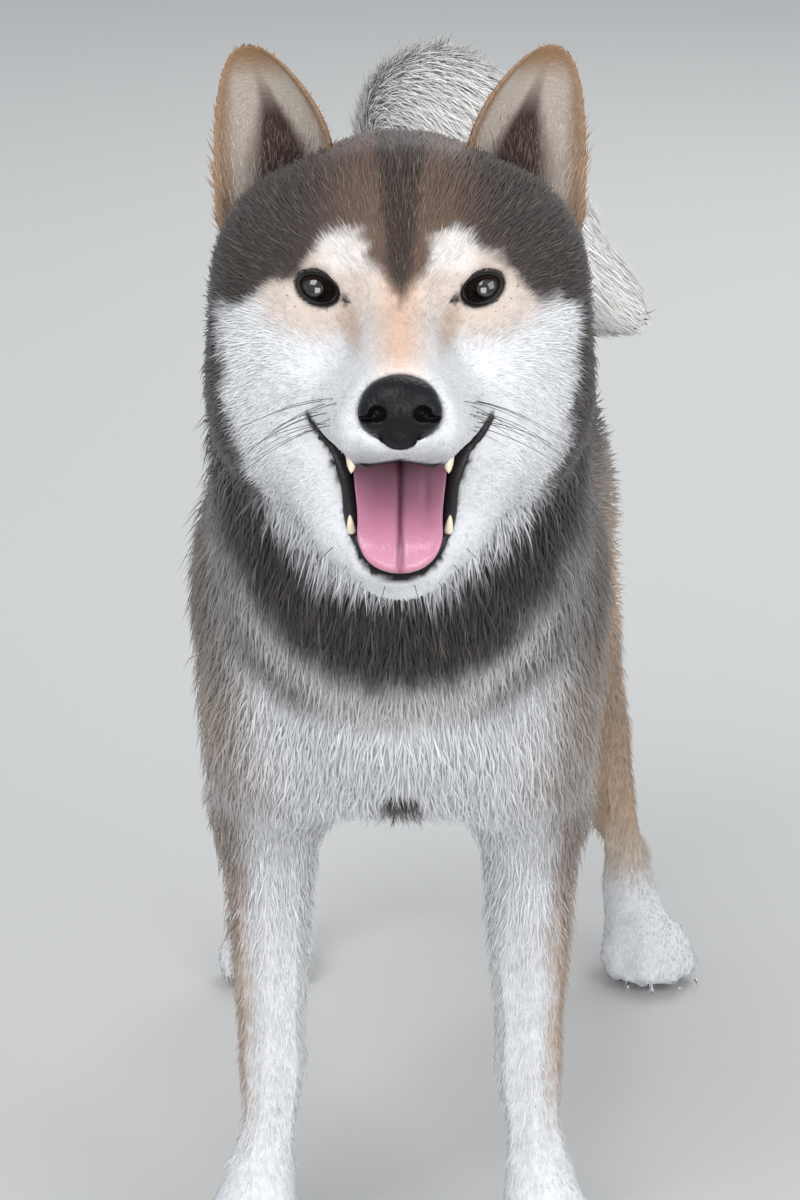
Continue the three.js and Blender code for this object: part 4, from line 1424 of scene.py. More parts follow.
# The tongue's middle line in the head's frame: how far back, and how high
TONGUE_ROUTE = (
    (6, -61),
    (-6, -64),
    (-16, -66),
    (-27, -70.5),
    (-38, -76),
    (-47, -81),
    (-54, -86),
    (-58.4, -91.5),
    (-60.2, -99),
)


@dataclass
class Face:
    """Eyes, lids, nose, lips, tongue, teeth and whiskers, with sizes in millimetres."""

    frame: Frame
    finishes: Finishes
    dog: Dog
    cornea_rise: float = 0.7
    rim_radius: float = 0.8
    lid_reach: float = 1.72
    lid_tufts: int = 900
    nose_voxel: float = 0.45
    tongue_half: float = 17.4
    tongue_thick: float = 2.9
    groove_depth: float = 1.9
    upper_lip: float = 0.95
    lower_lip: float = 1.35
    lip_swell: float = 1.5

    def __post_init__(self) -> None:
        """Makes the materials."""
        finishes = self.finishes
        leather = Finish(0.42, 0.2, coat=0.03, bump=0.6, bump_scale=620.0)
        lip = Finish(0.45, 0.35, coat=0.08, bump=0.4, bump_scale=500.0)
        wet = Finish(0.34, 0.5, coat=0.35, subsurface=0.25, bump=0.35, bump_scale=900.0)
        enamel = Finish(0.2, 0.5, coat=0.4)
        self.eye = finishes.from_attribute("eye_wet", Finish(0.06, 0.6, coat=1.0), 0.2)
        self.rim = finishes.plain("lid_skin", srgb(12, 10, 10), Finish(0.5, 0.35, bump=0.3, bump_scale=900.0))
        self.leather = finishes.plain("nose_leather", srgb(11, 11, 13), leather, srgb(20, 20, 24))
        self.lip = finishes.plain("lip_skin", srgb(16, 14, 15), lip, srgb(38, 32, 32))
        self.tongue = finishes.from_attribute("tongue_flesh", wet, 0.5)
        self.tooth = finishes.plain("tooth_enamel", srgb(236, 226, 204), enamel, srgb(222, 206, 178))
        self.whisker = finishes.plain("whisker_hair", srgb(22, 20, 20), Finish(0.4, 0.4), srgb(50, 44, 40))

    def build(self) -> None:
        """Makes all the pieces."""
        for side, name in SIDES:
            self._eye(side, name)
            self._lids(side, name)
        self._nose()
        self._tongue()
        self._teeth()
        self._lips()
        self._whiskers()

    def _eye(self, side: int, name: str) -> None:
        """One eyeball with a raised cornea, dark iris and darker pupil.

        Args:
            side: 1 for the left, -1 for the right.
            name: The side's name.
        """
        work = bmesh.new()
        bmesh.ops.create_uvsphere(work, u_segments=64, v_segments=48, radius=EYE_RADIUS * MM)
        mesh = mesh_of(f"eyeball_{name}", work)
        points = read_points(mesh) / MM
        look = unit(np.array([0.10 * side, -1.0, 0.0]))
        toward = points @ look / EYE_RADIUS
        angle = np.degrees(np.arccos(np.clip(toward, -1, 1)))
        points += look * (self.cornea_rise * ramp(angle, 36.0, 8.0))[:, None]
        colours = mix(even(EYE_RING, points), EYE_LIMBUS, ramp(angle, 50.0, 45.0))
        colours = mix(colours, IRIS, ramp(angle, 44.0, 36.0))
        colours = mix(colours, PUPIL, ramp(angle, 28.0, 23.0))
        piece = placed(f"eyeball_{name}", mesh)
        write_points(mesh, self.frame.from_head(points + EYE_CENTRE * np.array([side, 1, 1])))
        shade_smooth(piece)
        paint(piece, colours)
        settle_on(piece, self.eye, "eye", f"eye_{name}")

    def _lids(self, side: int, name: str) -> None:
        """Dark rims round the almond of the eye, thicker at both corners.

        Args:
            side: 1 for the left, -1 for the right.
            name: The side's name.
        """
        turns = np.linspace(0, 2 * math.pi, 72, endpoint=False)
        edge = self._lid_edge(turns, 1.0)
        centre = EYE_CENTRE * np.array([side, 1, 1])
        reach = np.sqrt(np.maximum((EYE_RADIUS + 0.7) ** 2 - edge[:, 0] ** 2 - edge[:, 1] ** 2, 4.0))
        path = np.stack([side * edge[:, 0], -reach, edge[:, 1]], 1) + centre
        thick = self.rim_radius + 0.35 * np.abs(np.cos(turns)) ** 4
        self._ring(f"lid_rim_{name}", path, thick, self.rim)
        self._lid_skin(side, name, path, turns)

    def _lid_edge(self, turns: Array, grow: float) -> Array:
        """Points of the lids' opening about the eye's middle: outwards and up, in millimetres.

        Args:
            turns: Angles round the opening.
            grow: How many times as wide as the opening.

        Returns:
            One row for each angle.
        """
        out = -LID_HALF * grow * np.cos(turns)
        high = np.where(np.sin(turns) > 0, 0.72, 0.78) * LID_HALF * grow
        return np.stack([out, high * np.sin(turns) + LID_SLOPE * out + 0.6], 1)

    def _lid_skin(self, side: int, name: str, inner: Array, turns: Array) -> None:
        """The lids: skin from the rim out to the face, with its short hair.

        Args:
            side: 1 for the left, -1 for the right.
            name: The side's name.
            inner: The rim's points in the head's frame.
            turns: Their angles round the opening.
        """
        edge = self._lid_edge(turns, self.lid_reach)
        front = np.stack([side * (edge[:, 0] + EYE_CENTRE[0]), np.full(len(edge), -60.0), edge[:, 1]], 1)
        outer = [spot if place is None else place for place, spot in zip(self._cast(front), front)]
        outer = np.array(outer) + np.array([0.0, 0.25, 0.0])
        rings = []
        for t in np.linspace(0, 1, 11):
            swell = 0.9 * math.sin(math.pi * t) * (1 - t)
            rings.append(inner + (outer - inner) * t + np.array([0.0, -swell, 0.0]))
        rings = np.stack(rings)
        quads = ring_faces(len(rings), len(turns))
        # The right eye's rings run the other way round
        faces = [(a, d, c, b) if side > 0 else (b, c, d, a) for a, b, c, d in quads]
        points = rings.reshape(-1, 3)
        skin = new_object(f"lid_skin_{name}", self.frame.from_head(points), faces)
        unwrap(skin)
        shade_smooth(skin)
        paint(skin, self.dog.markings.face(points) * 0.9)
        settle_on(skin, self.dog.skin_finish, "cream_coat")
        share = np.linspace(0, 1, len(rings))
        weight = np.repeat((share > 0.24) & (share < 0.85), len(turns)).astype(float)
        roots, normals, maps = Surface.of(skin).scatter(weight, self.lid_tufts, 300 + side)
        body = self.frame.body(roots)
        head = self.frame.head(body)
        out = head - (EYE_CENTRE + np.array([0.0, 0.0, 0.6])) * np.array([side, 1, 1])
        out[:, 1] = 0.0
        away = self.frame.turn_out_of_head(unit(out))
        lie = unit(away * 0.8 + self.dog.lie.all(body) * 0.5)
        colour = self.dog.markings.face(head)
        length, width, lift = (np.full(self.lid_tufts, size) for size in (2.0, 0.42, 0.2))
        style = TuftStyle(length, width, lift, 0.15)
        tones = (colour * 0.95, colour)
        tufts = self.dog.coat.build(f"coat_lid_{name}", roots, normals, maps, lie, style, tones, 310 + side)
        settle_on(tufts, None, "cream_coat")

    def _cast(self, front: Array) -> list[Array | None]:
        """Finds the skin straight behind places that lie before the face.

        Args:
            front: Places in the head's frame.

        Returns:
            For each, its place on the skin in the head's frame, or None where there is no skin.
        """
        way = Vector(self.frame.turn_out_of_head(FACE_WAY)[0])
        found = []
        for start in self.frame.from_head(front):
            hit, place, _, _ = self.dog.skin.ray_cast(Vector(start), way)
            found.append(self.frame.head(self.frame.body(np.array([place])))[0] if hit else None)
        return found

    def _ring(self, name: str, path: Array, thick: Array, material: bpy.types.Material) -> None:
        """A closed tube along a loop in the head's frame.

        Args:
            name: The piece's name.
            path: The loop's points.
            thick: The radius at each point.
            material: Its material.
        """
        sides = 10
        along = unit(np.roll(path, -1, 0) - np.roll(path, 1, 0))
        side = unit(np.cross(along, np.array([0.0, -1.0, 0.0])))
        deep = np.cross(side, along)
        turns = np.linspace(0, 2 * math.pi, sides, endpoint=False)
        rings = (
            path[:, None]
            + side[:, None] * (thick[:, None] * np.cos(turns)[None])[..., None]
            + deep[:, None] * (0.8 * thick[:, None] * np.sin(turns)[None])[..., None]
        )
        points = self.frame.from_head(rings.reshape(-1, 3))
        piece = new_object(name, points, ring_faces(len(path), sides, loop=True))
        shade_smooth(piece)
        settle_on(piece, material, "nose_leather")

    def _nose(self) -> None:
        """The nose leather, with hollow nostrils, slits at their sides and the groove between them."""
        lumps = [((0, 4, 2), (14.6, 9.5, 10.8)), ((0, 5, -6), (8.6, 7.0, 8.6))]
        lumps += [((8.6 * s, 2.6, -0.5), (6.9, 6.9, 7.8)) for s in (1, -1)]
        piece = self._ellipsoids("nose_tip", lumps)
        remesh(piece, 0.8, 6)
        cuts = [((8.3 * s, -5.0, -0.6), (3.6, 7.0, 3.2)) for s in (1, -1)]
        cuts += [((12.6 * s, -1.6, -2.6), (4.4, 4.2, 1.25)) for s in (1, -1)]
        cuts += [((0, -6.6, -4.0), (0.75, 2.4, 9.0))]
        hollow = self._ellipsoids("nose_hollow", cuts)
        remesh(hollow, 0.5, 2)
        cut = piece.modifiers.new("cut", "BOOLEAN")
        cut.operation = "DIFFERENCE"
        cut.object = hollow
        cut.solver = "EXACT"
        apply_modifiers(piece)
        bpy.data.objects.remove(hollow)
        remesh(piece, self.nose_voxel, 5)
        points = read_points(piece.data) / MM
        write_points(piece.data, self.frame.from_head(points + NOSE_AT))
        shade_smooth(piece)
        settle_on(piece, self.leather, "nose_leather", "nose")

    def _ellipsoids(self, name: str, lumps: Sequence[tuple]) -> bpy.types.Object:
        """Several ellipsoids in one object, in millimetres times MM, about the origin.

        Args:
            name: The object's name.
            lumps: The middle and the three radii of each.

        Returns:
            The object.
        """
        work = bmesh.new()
        for at, radii in lumps:
            made = bmesh.ops.create_icosphere(work, subdivisions=4, radius=1.0)
            for vertex in made["verts"]:
                vertex.co = Vector([(vertex.co[n] * radii[n] + at[n]) * MM for n in range(3)])
        return placed(name, mesh_of(name, work))

    def _tongue(self) -> None:
        """The tongue, cupped and grooved, hanging over the lower lip."""
        route = np.array(TONGUE_ROUTE, float)
        steps = np.linspace(0, len(route) - 1, 60)
        line = np.stack([np.interp(steps, np.arange(len(route)), route[:, n]) for n in range(2)], 1)
        line = eased(line, 6)
        along = unit(np.gradient(line, axis=0))
        normal = np.stack([along[:, 1], -along[:, 0]], 1)
        t = np.linspace(0, 1, len(line))
        taper = np.clip(1 - np.clip((t - 0.72) / 0.285, 0, 1) ** 2.2, 0.0004, 1)
        half = self.tongue_half * np.sqrt(taper) * (0.96 + 0.06 * np.sin(t * 7))
        turns = np.linspace(0, 2 * math.pi, 112, endpoint=False)
        top = np.maximum(np.sin(turns), 0)
        points, colours = [], []
        for n, (y, z) in enumerate(line):
            here = t[n : n + 1]
            thick = self.tongue_thick * (0.35 + 0.65 * min(1.0, half[n] / 9.0))
            across = half[n] * np.cos(turns)
            groove = np.exp(-((across / 1.1) ** 2)) * top
            crease = np.exp(-(((np.abs(across) - 9.5) / 1.6) ** 2)) * top * bump_at(here, 0.5, 0.35)
            cup = 0.010 * across ** 2
            depth = thick * np.sin(turns) - self.groove_depth * groove - crease + cup
            points.append(np.stack([across, y + depth * normal[n, 0], z + depth * normal[n, 1]], 1))
            # Painted shade: darker down the groove, and darker towards the root inside the mouth
            pink = mix(even(TONGUE_PINK, turns), TONGUE_GROOVE_SHADE, groove)
            pink = mix(pink, TONGUE_BACK_SHADE, np.full(len(turns), ramp(here, 0.5, 0.1)))
            colours.append(mix(pink, TONGUE_TIP, np.full(len(turns), 0.5 * ramp(here, 0.8, 1.0))))
        faces = tube_faces(len(line), len(turns))
        piece = new_object("tongue_flesh", self.frame.from_head(np.concatenate(points)), faces)
        work = bmesh.new()
        work.from_mesh(piece.data)
        bmesh.ops.recalc_face_normals(work, faces=work.faces)
        work.to_mesh(piece.data)
        work.free()
        shade_smooth(piece)
        paint(piece, np.concatenate(colours))
        settle_on(piece, self.tongue, "tongue", "tongue")

    def _cone(
        self, base: Sequence[float], tip: Sequence[float], radius: float, bow: float
    ) -> tuple[Array, list[tuple[int, ...]]]:
        """A curved tooth in the head's frame.

        Args:
            base: Its root.
            tip: Its point.
            radius: Its radius at the root.
            bow: How far it bows back.

        Returns:
            Points in metres, and faces.
        """
        t = np.linspace(0, 1, 9)
        base, tip = np.array(base, float), np.array(tip, float)
        path = base + (tip - base) * t[:, None]
        path[:, 1] += bow * np.sin(math.pi * t)
        points, faces = swept_tube(path, radius * (1 - t ** 1.6) ** 0.7 + 0.12, 10)
        return self.frame.from_head(points), faces

    def _teeth(self) -> None:
        """The four canines, and the small teeth that show beside the tongue."""
        parts = []
        for s in (1, -1):
            parts.append(self._cone((17.4 * s, -55.0, -54.0), (17.9 * s, -58.0, -62.4), 2.6, -0.5))
            parts.append(self._cone((18.0 * s, -43.0, -86.0), (18.6 * s, -45.6, -79.5), 1.6, -0.5))
            for x, y, z in ((18.4, -32.0, -81.0), (19.6, -24.0, -75.0)):
                parts.append(self._cone((x * s, y, z - 1.0), (x * s, y - 0.5, z + 2.8), 1.3, 0.0))
        piece = gather("teeth", parts)
        settle_on(piece, self.tooth, None)

    def _lip_line(self, first: int, last: int) -> Array:
        """A stretch of the mouth's edge, laid on the front of the skin.

        Args:
            first: The outline's point where it starts.
            last: The outline's point where it ends.

        Returns:
            Points in the head's frame.
        """
        steps = np.linspace(first, last, 46)
        depth = np.full(len(steps), -44.0)
        marks = np.arange(len(MOUTH_OUTLINE))
        for _ in range(3):
            edge = []
            for step, loop in zip(steps, mouth_outline(depth)):
                edge.append([np.interp(step, marks, loop[:, axis]) for axis in (0, 1)])
            edge = np.array(edge)
            outside = edge + 1.3 * unit(edge - MOUTH_MIDDLE)
            front = np.stack([outside[:, 0], np.full(len(steps), -120.0), outside[:, 1]], 1)
            for n, place in enumerate(self._cast(front)):
                if place is not None:
                    depth[n] = place[1]
            depth = eased(np.clip(depth, -62.0, -8.0), 4)
        return eased(np.stack([edge[:, 0], depth + 0.4, edge[:, 1]], 1), 4)

    def _lips(self) -> None:
        """Dark lips along both edges of the mouth."""
        parts = []
        end = len(MOUTH_OUTLINE) - 1
        front = np.array([0.0, -1.0, 0.2])
        for first, last, radius in ((0, MOUTH_CORNER, self.upper_lip), (MOUTH_CORNER, end, self.lower_lip)):
            line = self._lip_line(first, last)
            height = line[:, 2]
            thick = radius * (1 + 0.14 * np.sin(np.linspace(0, 26, len(line))))
            if first == MOUTH_CORNER:
                thick += self.lip_swell * ramp(height, -47.0, -60.0) * ramp(height, -96.0, -84.0)
            thick *= 1.0 - 0.35 * ramp(height, -92.0, -97.0)
            for side, _ in SIDES:
                points, faces = swept_tube(line * np.array([side, 1, 1]), thick, 10, 0.8, front)
                parts.append((self.frame.from_head(points), faces))
        piece = gather("lips", parts)
        settle_on(piece, self.lip, "nose_leather")

    def _whiskers(self) -> None:
        """Whiskers on the muzzle and chin, and the few long hairs over the eyes."""
        draw = np.random.RandomState(41)
        parts = []
        for s in (1, -1):
            roots = [
                (16 + 2.6 * n, -56 + 6.5 * n, -44 + 4.2 * row - 0.6 * n) for row in range(3) for n in range(4)
            ]
            for x, y, z in roots:
                out, back, down = draw.uniform(), draw.uniform(), draw.uniform()
                way = (s * (0.9 + 0.2 * out), 0.35 + 0.3 * back, 0.1 - 0.35 * down)
                parts.append(self._hair((s * x, y, z), way, draw.uniform(26, 52), 0.15, draw))
            for n in range(3):
                root = (s * (19 + 3.0 * n), -1 + n, 17 + n)
                way = (s * (0.25 + 0.15 * n), -0.35, 0.95)
                parts.append(self._hair(root, way, draw.uniform(14, 22), 0.2, draw))
            for n in range(4):
                root = (s * (4 + 5 * n), -47 + 4 * n, -101 + 4 * n)
                way = (s * (0.3 + 0.4 * n), -0.15 + 0.2 * n, -0.8)
                parts.append(self._hair(root, way, draw.uniform(10, 20), 0.18, draw))
        piece = gather("whiskers", parts)
        settle_on(piece, self.whisker, None)

    def _hair(
        self,
        root: Sequence[float],
        way: Sequence[float],
        length: float,
        radius: float,
        draw: np.random.RandomState,
    ) -> tuple[Array, list[tuple[int, ...]]]:
        """One long hair that droops to its tip.

        Args:
            root: Where it grows, in the head's frame.
            way: Where it points.
            length: Its length.
            radius: Its radius at the root.
            draw: The draw that sets its droop.

        Returns:
            Points in metres, and faces.
        """
        t = np.linspace(0, 1, 9)
        way = unit(np.array(way))
        path = np.array(root, float) - way * 1.5 + way * (length * t)[:, None]
        path[:, 2] -= 0.24 * length * t ** 2 * (1 + 0.6 * draw.uniform())
        points, faces = swept_tube(path, radius * (1 - t) ** 0.6 + 0.03, 5)
        return self.frame.from_head(points), faces


@dataclass(frozen=True)
class Foot:
    """Where a paw stands, in the body's frame, and how far its toes turn out."""

    x: float
    y: float
    turn: float


FEET = (
    Foot(63.0, -8.0, math.radians(13)),
    Foot(-63.0, -8.0, math.radians(-13)),
    Foot(120.0, 318.0, math.radians(16)),
    Foot(-62.0, 318.0, math.radians(-16)),
)
TOES = ((-17.0, -17.0), (-6.4, -27.0), (6.4, -27.0), (17.0, -17.0))


@dataclass
class Claws:
    """The claws of all four feet, with sizes in millimetres."""

    frame: Frame
    finishes: Finishes
    radius: float = 2.4
    root_height: float = 10.5
    tip_height: float = 4.6
    bow: float = 1.8

    def __post_init__(self) -> None:
        """Makes the material."""
        horn = Finish(0.3, 0.5, coat=0.2)
        self.horn = self.finishes.plain("claw_horn", srgb(52, 44, 40), horn, srgb(96, 82, 72))

    def build(self) -> None:
        """Makes the claws in one piece."""
        parts = []
        t = np.linspace(0, 1, 10)
        radii = self.radius * (1 - t ** 2.2) ** 0.7 + 0.25
        for foot in FEET:
            c, s = math.cos(foot.turn), math.sin(foot.turn)
            for across, reach in TOES:
                start = np.array([across * 1.02, reach - 5.0, self.root_height])
                end = np.array([across * 1.05, reach - 11.5, self.tip_height])
                x, y, z = (start + (end - start) * t[:, None]).T
                z = z + self.bow * np.sin(math.pi * t)
                turned = np.stack([x * c - y * s + foot.x, x * s + y * c + foot.y, z], 1)
                points, faces = swept_tube(turned, radii, 10, 1.2)
                parts.append((self.frame.world(points), faces))
        piece = gather("claws", parts)
        settle_on(piece, self.horn, None)


@dataclass
class Dog:
    """The skin and the coat over it, with sizes in millimetres."""

    frame: Frame
    finishes: Finishes
    swell: float = 0.45
    skin_voxel: float = 2.3
    skin_voxel_quick: float = 3.0
    ear_voxel: float = 0.9
    ear_voxel_quick: float = 1.2
    ear_tufts: int = 10500
    tail_voxel: float = 2.0
    tail_skin: float = 0.82
    tail_tufts: int = 18000
    tail_lift: float = 0.27
    tail_width: float = 0.95
    ruff_back: float = 40.0
    ruff_foot: float = 300.0
    leg_top: float = 205.0
    rear_start: float = 130.0

    def __post_init__(self) -> None:
        """Makes what the pieces share."""
        self.tail = Tail()
        self.markings = Markings(self.frame, self.tail)
        self.lie = Lie(self.frame)
        skin = Finish(0.75, 0.3, bump=0.6, bump_scale=900.0)
        self.skin_finish = self.finishes.from_attribute("skin_under_coat", skin)
        self.coat = Coat(self.finishes.from_attribute("coat_hair", Finish(0.62, 0.25, sheen=0.12), 0.8))
        self.thin = 1

    def build(self) -> None:
        """Makes the skin and every coat piece."""
        self._body()
        self._ears()
        self._brush()

    def _body(self) -> None:
        """One skin for the head, neck, trunk and legs, and the coat on it."""
        skin = joined_copy("body_skin", FLESH, self.swell)
        remesh(skin, self.skin_voxel, 3)
        mesh = skin.data
        points = read_points(mesh)
        body = self.frame.body(points)
        depth = coat_depth(self.frame, body)
        depth = edge_average(mesh, depth[:, None], 6)
        points = points - read_normals(mesh) * depth * MM
        write_points(mesh, points)
        soft = np.clip((depth - 2.0) / 6.0, 0, 1)
        points = points + (edge_average(mesh, points, 10) - points) * soft
        write_points(mesh, points)
        unwrap(skin)
        shade_smooth(skin)
        body = self.frame.body(points)
        paint(skin, self.markings.all(body) * 0.84)
        settle_on(skin, self.skin_finish, "sesame_coat", *FLESH)
        self.skin = skin
        self._body_coat(Surface.of(skin), body)

    def _body_coat(self, surface: Surface, body: Array) -> None:
        """Every coat piece that grows on the body's skin.

        Args:
            surface: The skin.
            body: Its points in the body's frame.
        """
        head = self.frame.head(body)
        back, height = head[:, 1], head[:, 2]
        is_head = past_cut(head) > 0
        bare = (mouth_depth(head) > -3.2) & (back < 18.0) & (height > -104.0) & (height < -40.0)
        bare |= (eye_almond(head) < 1.5) & (back < 14.0) & is_head
        bare |= (np.linalg.norm(head - NOSE_AT, axis=1) < 15.0) & is_head
        bare |= (surface.normals[:, 2] < -0.75) & (body[:, 2] < 8.0)
        ruff = (body[:, 1] < self.ruff_back) & (body[:, 2] > self.ruff_foot)
        trunk = ~is_head & (body[:, 2] > self.leg_top)
        legs = ~is_head & ~(body[:, 2] > self.leg_top)
        rear = body[:, 1] >= self.rear_start
        masks = {
            Region.MUZZLE: is_head & (back < -14.0),
            Region.FACE: is_head & (back >= -14.0) & (back < 26.0),
            Region.SKULL: is_head & (back >= 26.0),
            Region.NECK: ~is_head & ruff,
            Region.TRUNK_FRONT: trunk & ~rear & ~ruff,
            Region.TRUNK_REAR: trunk & rear,
            Region.FORELEGS: legs & ~rear,
            Region.HINDLEGS: legs & rear,
        }
        for order, (region, mask) in enumerate(masks.items()):
            weight = (mask & ~bare).astype(float)
            roots, normals, maps = surface.scatter(weight, TUFT_COUNTS[region] // self.thin, 100 + order)
            self._grow(region.value, roots, normals, maps, 200 + order)

    def _grow(self, name: str, roots: Array, normals: Array, maps: Array, seed: int) -> None:
        """Grows one piece of the body's coat from its roots.

        Args:
            name: The region's name.
            roots: Where each tuft grows, in metres.
            normals: The skin's normals there.
            maps: Places on the skin's unwrap.
            seed: The draw.
        """
        body = self.frame.body(roots)
        head = self.frame.head(body)
        depth = coat_depth(self.frame, body)
        back, height = head[:, 1], head[:, 2]
        is_head = ramp(past_cut(head), -6.0, 14.0)
        face = 2.4 + 3.6 * ramp(back, -46.0, 10.0) + 7.0 * ramp(back, 10.0, 60.0) * ramp(height, 24.0, -14.0)
        face += 2.0 * ramp(height, 18.0, 40.0)
        trunk = 1.25 * depth + 2.2
        length = trunk + (face - trunk) * is_head
        eye_gap = np.hypot((np.abs(head[:, 0]) - EYE_CENTRE[0]) / 1.3, height)
        by_eye = 1.2 + 0.34 * np.maximum(eye_gap - 6.0, 0) + 6.0 * (back > 20)
        length = np.where(is_head > 0.5, np.minimum(length, by_eye), length)
        length = np.maximum(length, 1.6)
        width = np.clip(0.36 + 0.048 * length, 0.45, 1.5)
        lift = np.clip(0.9 * depth / np.maximum(length, 0.1), 0.12, 0.5)
        lie = self.lie.all(body)
        root_colour = self.markings.all(body + lie * length[:, None] * 0.3)
        tip_colour = self.markings.all(body + lie * length[:, None] * 0.8)
        darkness = 1.0 - np.clip(root_colour.mean(1) / 0.25, 0, 1)
        root_tone = root_colour * 0.86 + 0.03 * darkness[:, None]
        tip_tone = tip_colour * (1.0 - 0.15 * darkness[:, None])
        style = TuftStyle(length, width, lift, 0.16, 2, 0.72)
        piece = self.coat.build(f"coat_{name}", roots, normals, maps, lie, style, (root_tone, tip_tone), seed)
        settle_on(piece, None, "sesame_coat")

    def _ears(self) -> None:
        """Both ears: thin skin, short hair on the back and long pale hair inside."""
        skin = gather("ear_skin", [self._ear_shell(side) for side in (1, -1)])
        remesh(skin, self.ear_voxel, 5)
        unwrap(skin)
        shade_smooth(skin)
        points = read_points(skin.data)
        head = self.frame.head(self.frame.body(points))
        paint(skin, self.markings.ear(head, self._facing(head, read_normals(skin.data))) * 0.8)
        settle_on(skin, self.skin_finish, "tan_coat", *EARS)
        count = self.ear_tufts // self.thin
        roots, normals, maps = Surface.of(skin).scatter(np.ones(len(points)), count, 150)
        head = self.frame.head(self.frame.body(roots))
        facing = self._facing(head, normals)
        t = np.clip(ear_share(head), 0, 1)
        inner = ramp(-facing, 0.0, 0.4)
        length = 2.2 + 5.0 * inner * ramp(t, 0.85, 0.3)
        colour = self.markings.ear(head, facing)
        pale = mix(colour, EAR_PALE, 0.45 * inner * (1 - t))
        style = TuftStyle(length, 0.5 + 0.04 * length, np.full(count, 0.14), 0.16)
        tones = (colour * 0.8, pale * 1.05)
        piece = self.coat.build("coat_ears", roots, normals, maps, self.lie.ears(head), style, tones, 250)
        settle_on(piece, None, "tan_coat")

    def _facing(self, head: Array, normals: Array) -> Array:
        """How far the ears' surface faces the back of the cup at each place, -1 in front.

        Args:
            head: Places in the head's frame.
            normals: Directions of the surface in the scene.

        Returns:
            One value for each place.
        """
        turned = self.frame.head(normals + HEAD_ORIGIN)
        outward = np.sign(head[:, 0]) * turned[:, 0]
        return turned[:, 1] * math.cos(EAR_TURN) - outward * math.sin(EAR_TURN)

    def _ear_shell(self, side: int) -> tuple[Array, list[tuple[int, ...]]]:
        """One ear as a thin cup, rooted under the skin of the head.

        Args:
            side: 1 for the left, -1 for the right.

        Returns:
            Points in metres, and faces.
        """
        stations = np.concatenate([[-0.3, -0.15], 1.0 - (1.0 - np.linspace(0.0, 1.0, 36)) ** 1.5])
        rings = np.stack([EarSection.at(t).ring(3.2 - 1.4 * max(t, 0.0), 29) for t in stations])
        sunk = np.clip(0.16 - stations, 0.0, 1.0)[:, None]
        rings[:, :, 0] -= 62.0 * sunk * ramp(rings[:, :, 0], 60.0, 84.0)
        faces = tube_faces(*rings.shape[:2])
        if side < 0:
            faces = [face[::-1] for face in faces]
        points = rings.reshape(-1, 3) * np.array([side, 1, 1])
        return self.frame.from_head(points), faces

    def _brush(self) -> None:
        """The tail's skin, under half way out, and its long straight hair."""
        reach = np.maximum(self.tail.reach * self.tail_skin, 3.0)
        points, faces = swept_tube(self.tail.points, reach, 20, 1.0, np.array([0.3, 0.9, 0.2]))
        skin = new_object("tail_skin", self.frame.world(points), faces)
        remesh(skin, self.tail_voxel, 4)
        unwrap(skin)
        shade_smooth(skin)
        body = self.frame.body(read_points(skin.data))
        paint(skin, self.markings.brush(body) * 0.97)
        settle_on(skin, self.skin_finish, "cream_coat", "tail")
        count = self.tail_tufts // self.thin
        roots, normals, maps = Surface.of(skin).scatter(np.ones(len(body)), count, 160)
        body = self.frame.body(roots)
        index = self.tail.nearest(body)
        length = np.clip(self.tail.reach[index] * 0.56, 8.0, 19.0)
        width, lift = np.full(count, self.tail_width), np.full(count, self.tail_lift)
        style = TuftStyle(length, width, lift, 0.14, 2, 0.97)
        colour = self.markings.brush(body)
        tones = (colour * 0.97, colour)
        piece = self.coat.build("coat_tail", roots, normals, maps, self.tail.along[index], style, tones, 260)
        settle_on(piece, None, "cream_coat")


@dataclass(frozen=True)
class Lamp:
    """One soft lamp: its place and width in metres, and its power in watts."""

    name: str
    place: tuple[float, float, float]
    width: float
    power: float


LAMPS = (
    Lamp("key", (-0.9, -1.6, 2.4), 1.6, 37.0),
    Lamp("fill", (1.6, -1.4, 1.3), 1.4, 17.0),
    Lamp("front", (0.1, -2.4, 0.4), 1.2, 24.0),
    Lamp("rim", (0.6, 2.0, 1.9), 1.4, 26.0),
)


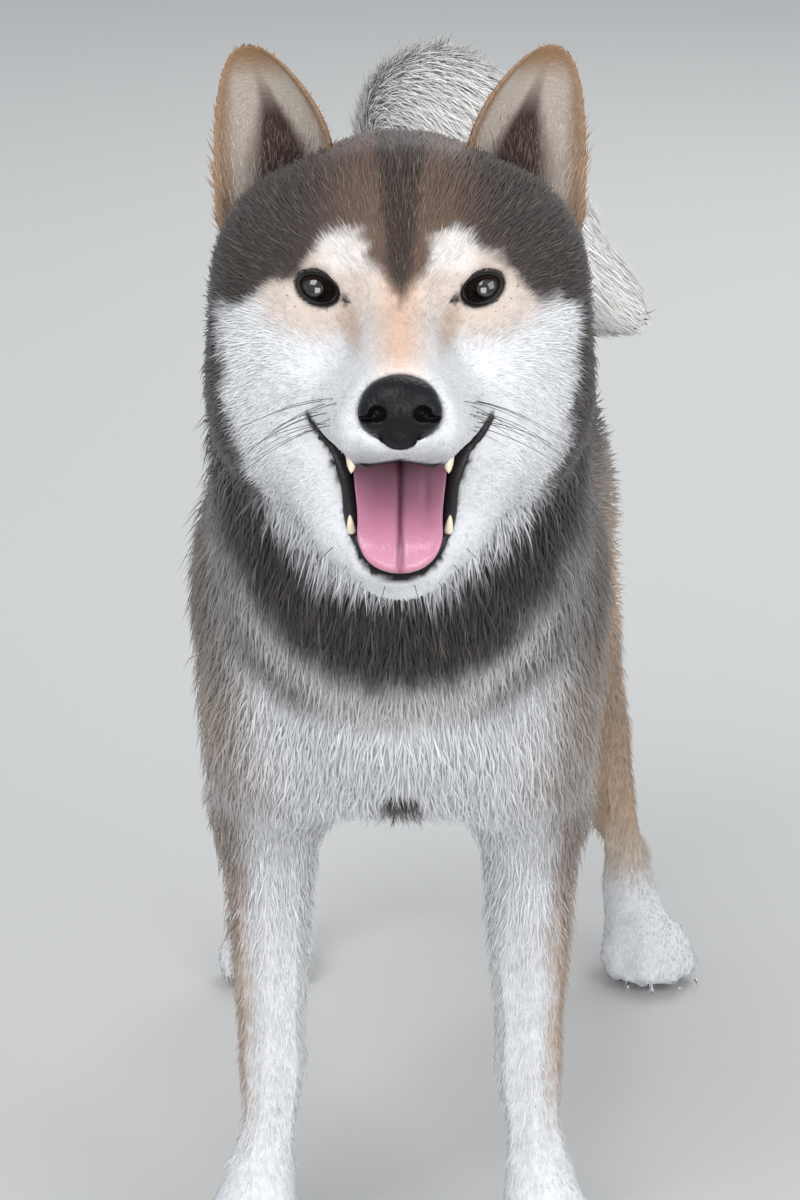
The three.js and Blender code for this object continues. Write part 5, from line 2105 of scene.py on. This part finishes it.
@dataclass(frozen=True)
class Studio:
    """The floor, the lights and the camera."""

    frame: Frame
    floor_half: float = 6.0
    floor_colour: tuple[float, float, float, float] = (0.5, 0.5, 0.49, 1.0)
    surround_colour: tuple[float, float, float, float] = (0.86, 0.9, 0.95, 1.0)
    surround: float = 0.74
    aim: tuple[float, float, float] = (0.0, 0.0, 0.3)
    lens: float = 135.0
    distance: float = 1800.0
    height: float = 883.0
    look_down: float = math.radians(18.0)

    def build(self) -> None:
        """Sets the stage."""
        self._floor()
        self._lights()
        self._camera()
        bpy.context.scene.view_settings.view_transform = "Standard"

    def _floor(self) -> None:
        """A wide pale floor."""
        work = bmesh.new()
        bmesh.ops.create_grid(work, x_segments=2, y_segments=2, size=self.floor_half)
        floor = placed("studio_floor", mesh_of("studio_floor", work))
        material = bpy.data.materials.new("studio_floor")
        material.use_nodes = True
        shader = material.node_tree.nodes["Principled BSDF"]
        shader.inputs["Base Color"].default_value = self.floor_colour
        shader.inputs["Roughness"].default_value = 0.8
        floor.data.materials.append(material)

    def _lights(self) -> None:
        """A wide soft key from above, a fill, a front and a rim lamp, and an even surround."""
        world = bpy.data.worlds.new("surround")
        world.use_nodes = True
        background = world.node_tree.nodes["Background"]
        background.inputs["Color"].default_value = self.surround_colour
        background.inputs["Strength"].default_value = self.surround
        bpy.context.scene.world = world
        for lamp in LAMPS:
            light = bpy.data.lights.new(lamp.name, "AREA")
            light.energy = lamp.power
            light.size = lamp.width
            stand = placed(lamp.name, light)
            stand.location = lamp.place
            way = Vector(self.aim) - Vector(lamp.place)
            stand.rotation_euler = way.to_track_quat("-Z", "Y").to_euler()

    def _camera(self) -> None:
        """The photograph's viewpoint: in front, above the head and looking down."""
        data = bpy.data.cameras.new("camera")
        data.sensor_width = 36.0
        data.sensor_fit = "AUTO"
        data.lens = self.lens
        camera = placed("camera", data)
        camera.location = self.frame.world(np.array([0.0, -self.distance, self.height]))
        camera.rotation_euler = (math.pi / 2 - self.look_down, 0.0, 0.0)
        bpy.context.scene.camera = camera


def main() -> None:
    """Loads the frame, builds each sub-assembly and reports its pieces."""
    logging.basicConfig(level=logging.INFO)
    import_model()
    solids = {piece.name for piece in bpy.context.scene.objects}
    frame = Frame.from_eyes()
    finishes = Finishes()
    Studio(frame).build()
    dog = Dog(frame, finishes)
    dog.build()
    Face(frame, finishes, dog).build()
    Claws(frame, finishes).build()
    for piece in bpy.context.scene.objects:
        if piece.type == "MESH" and piece.name not in solids:
            LOG.info("%s: %d faces", piece.name, len(piece.data.polygons))


if __name__ == "__main__":
    main()
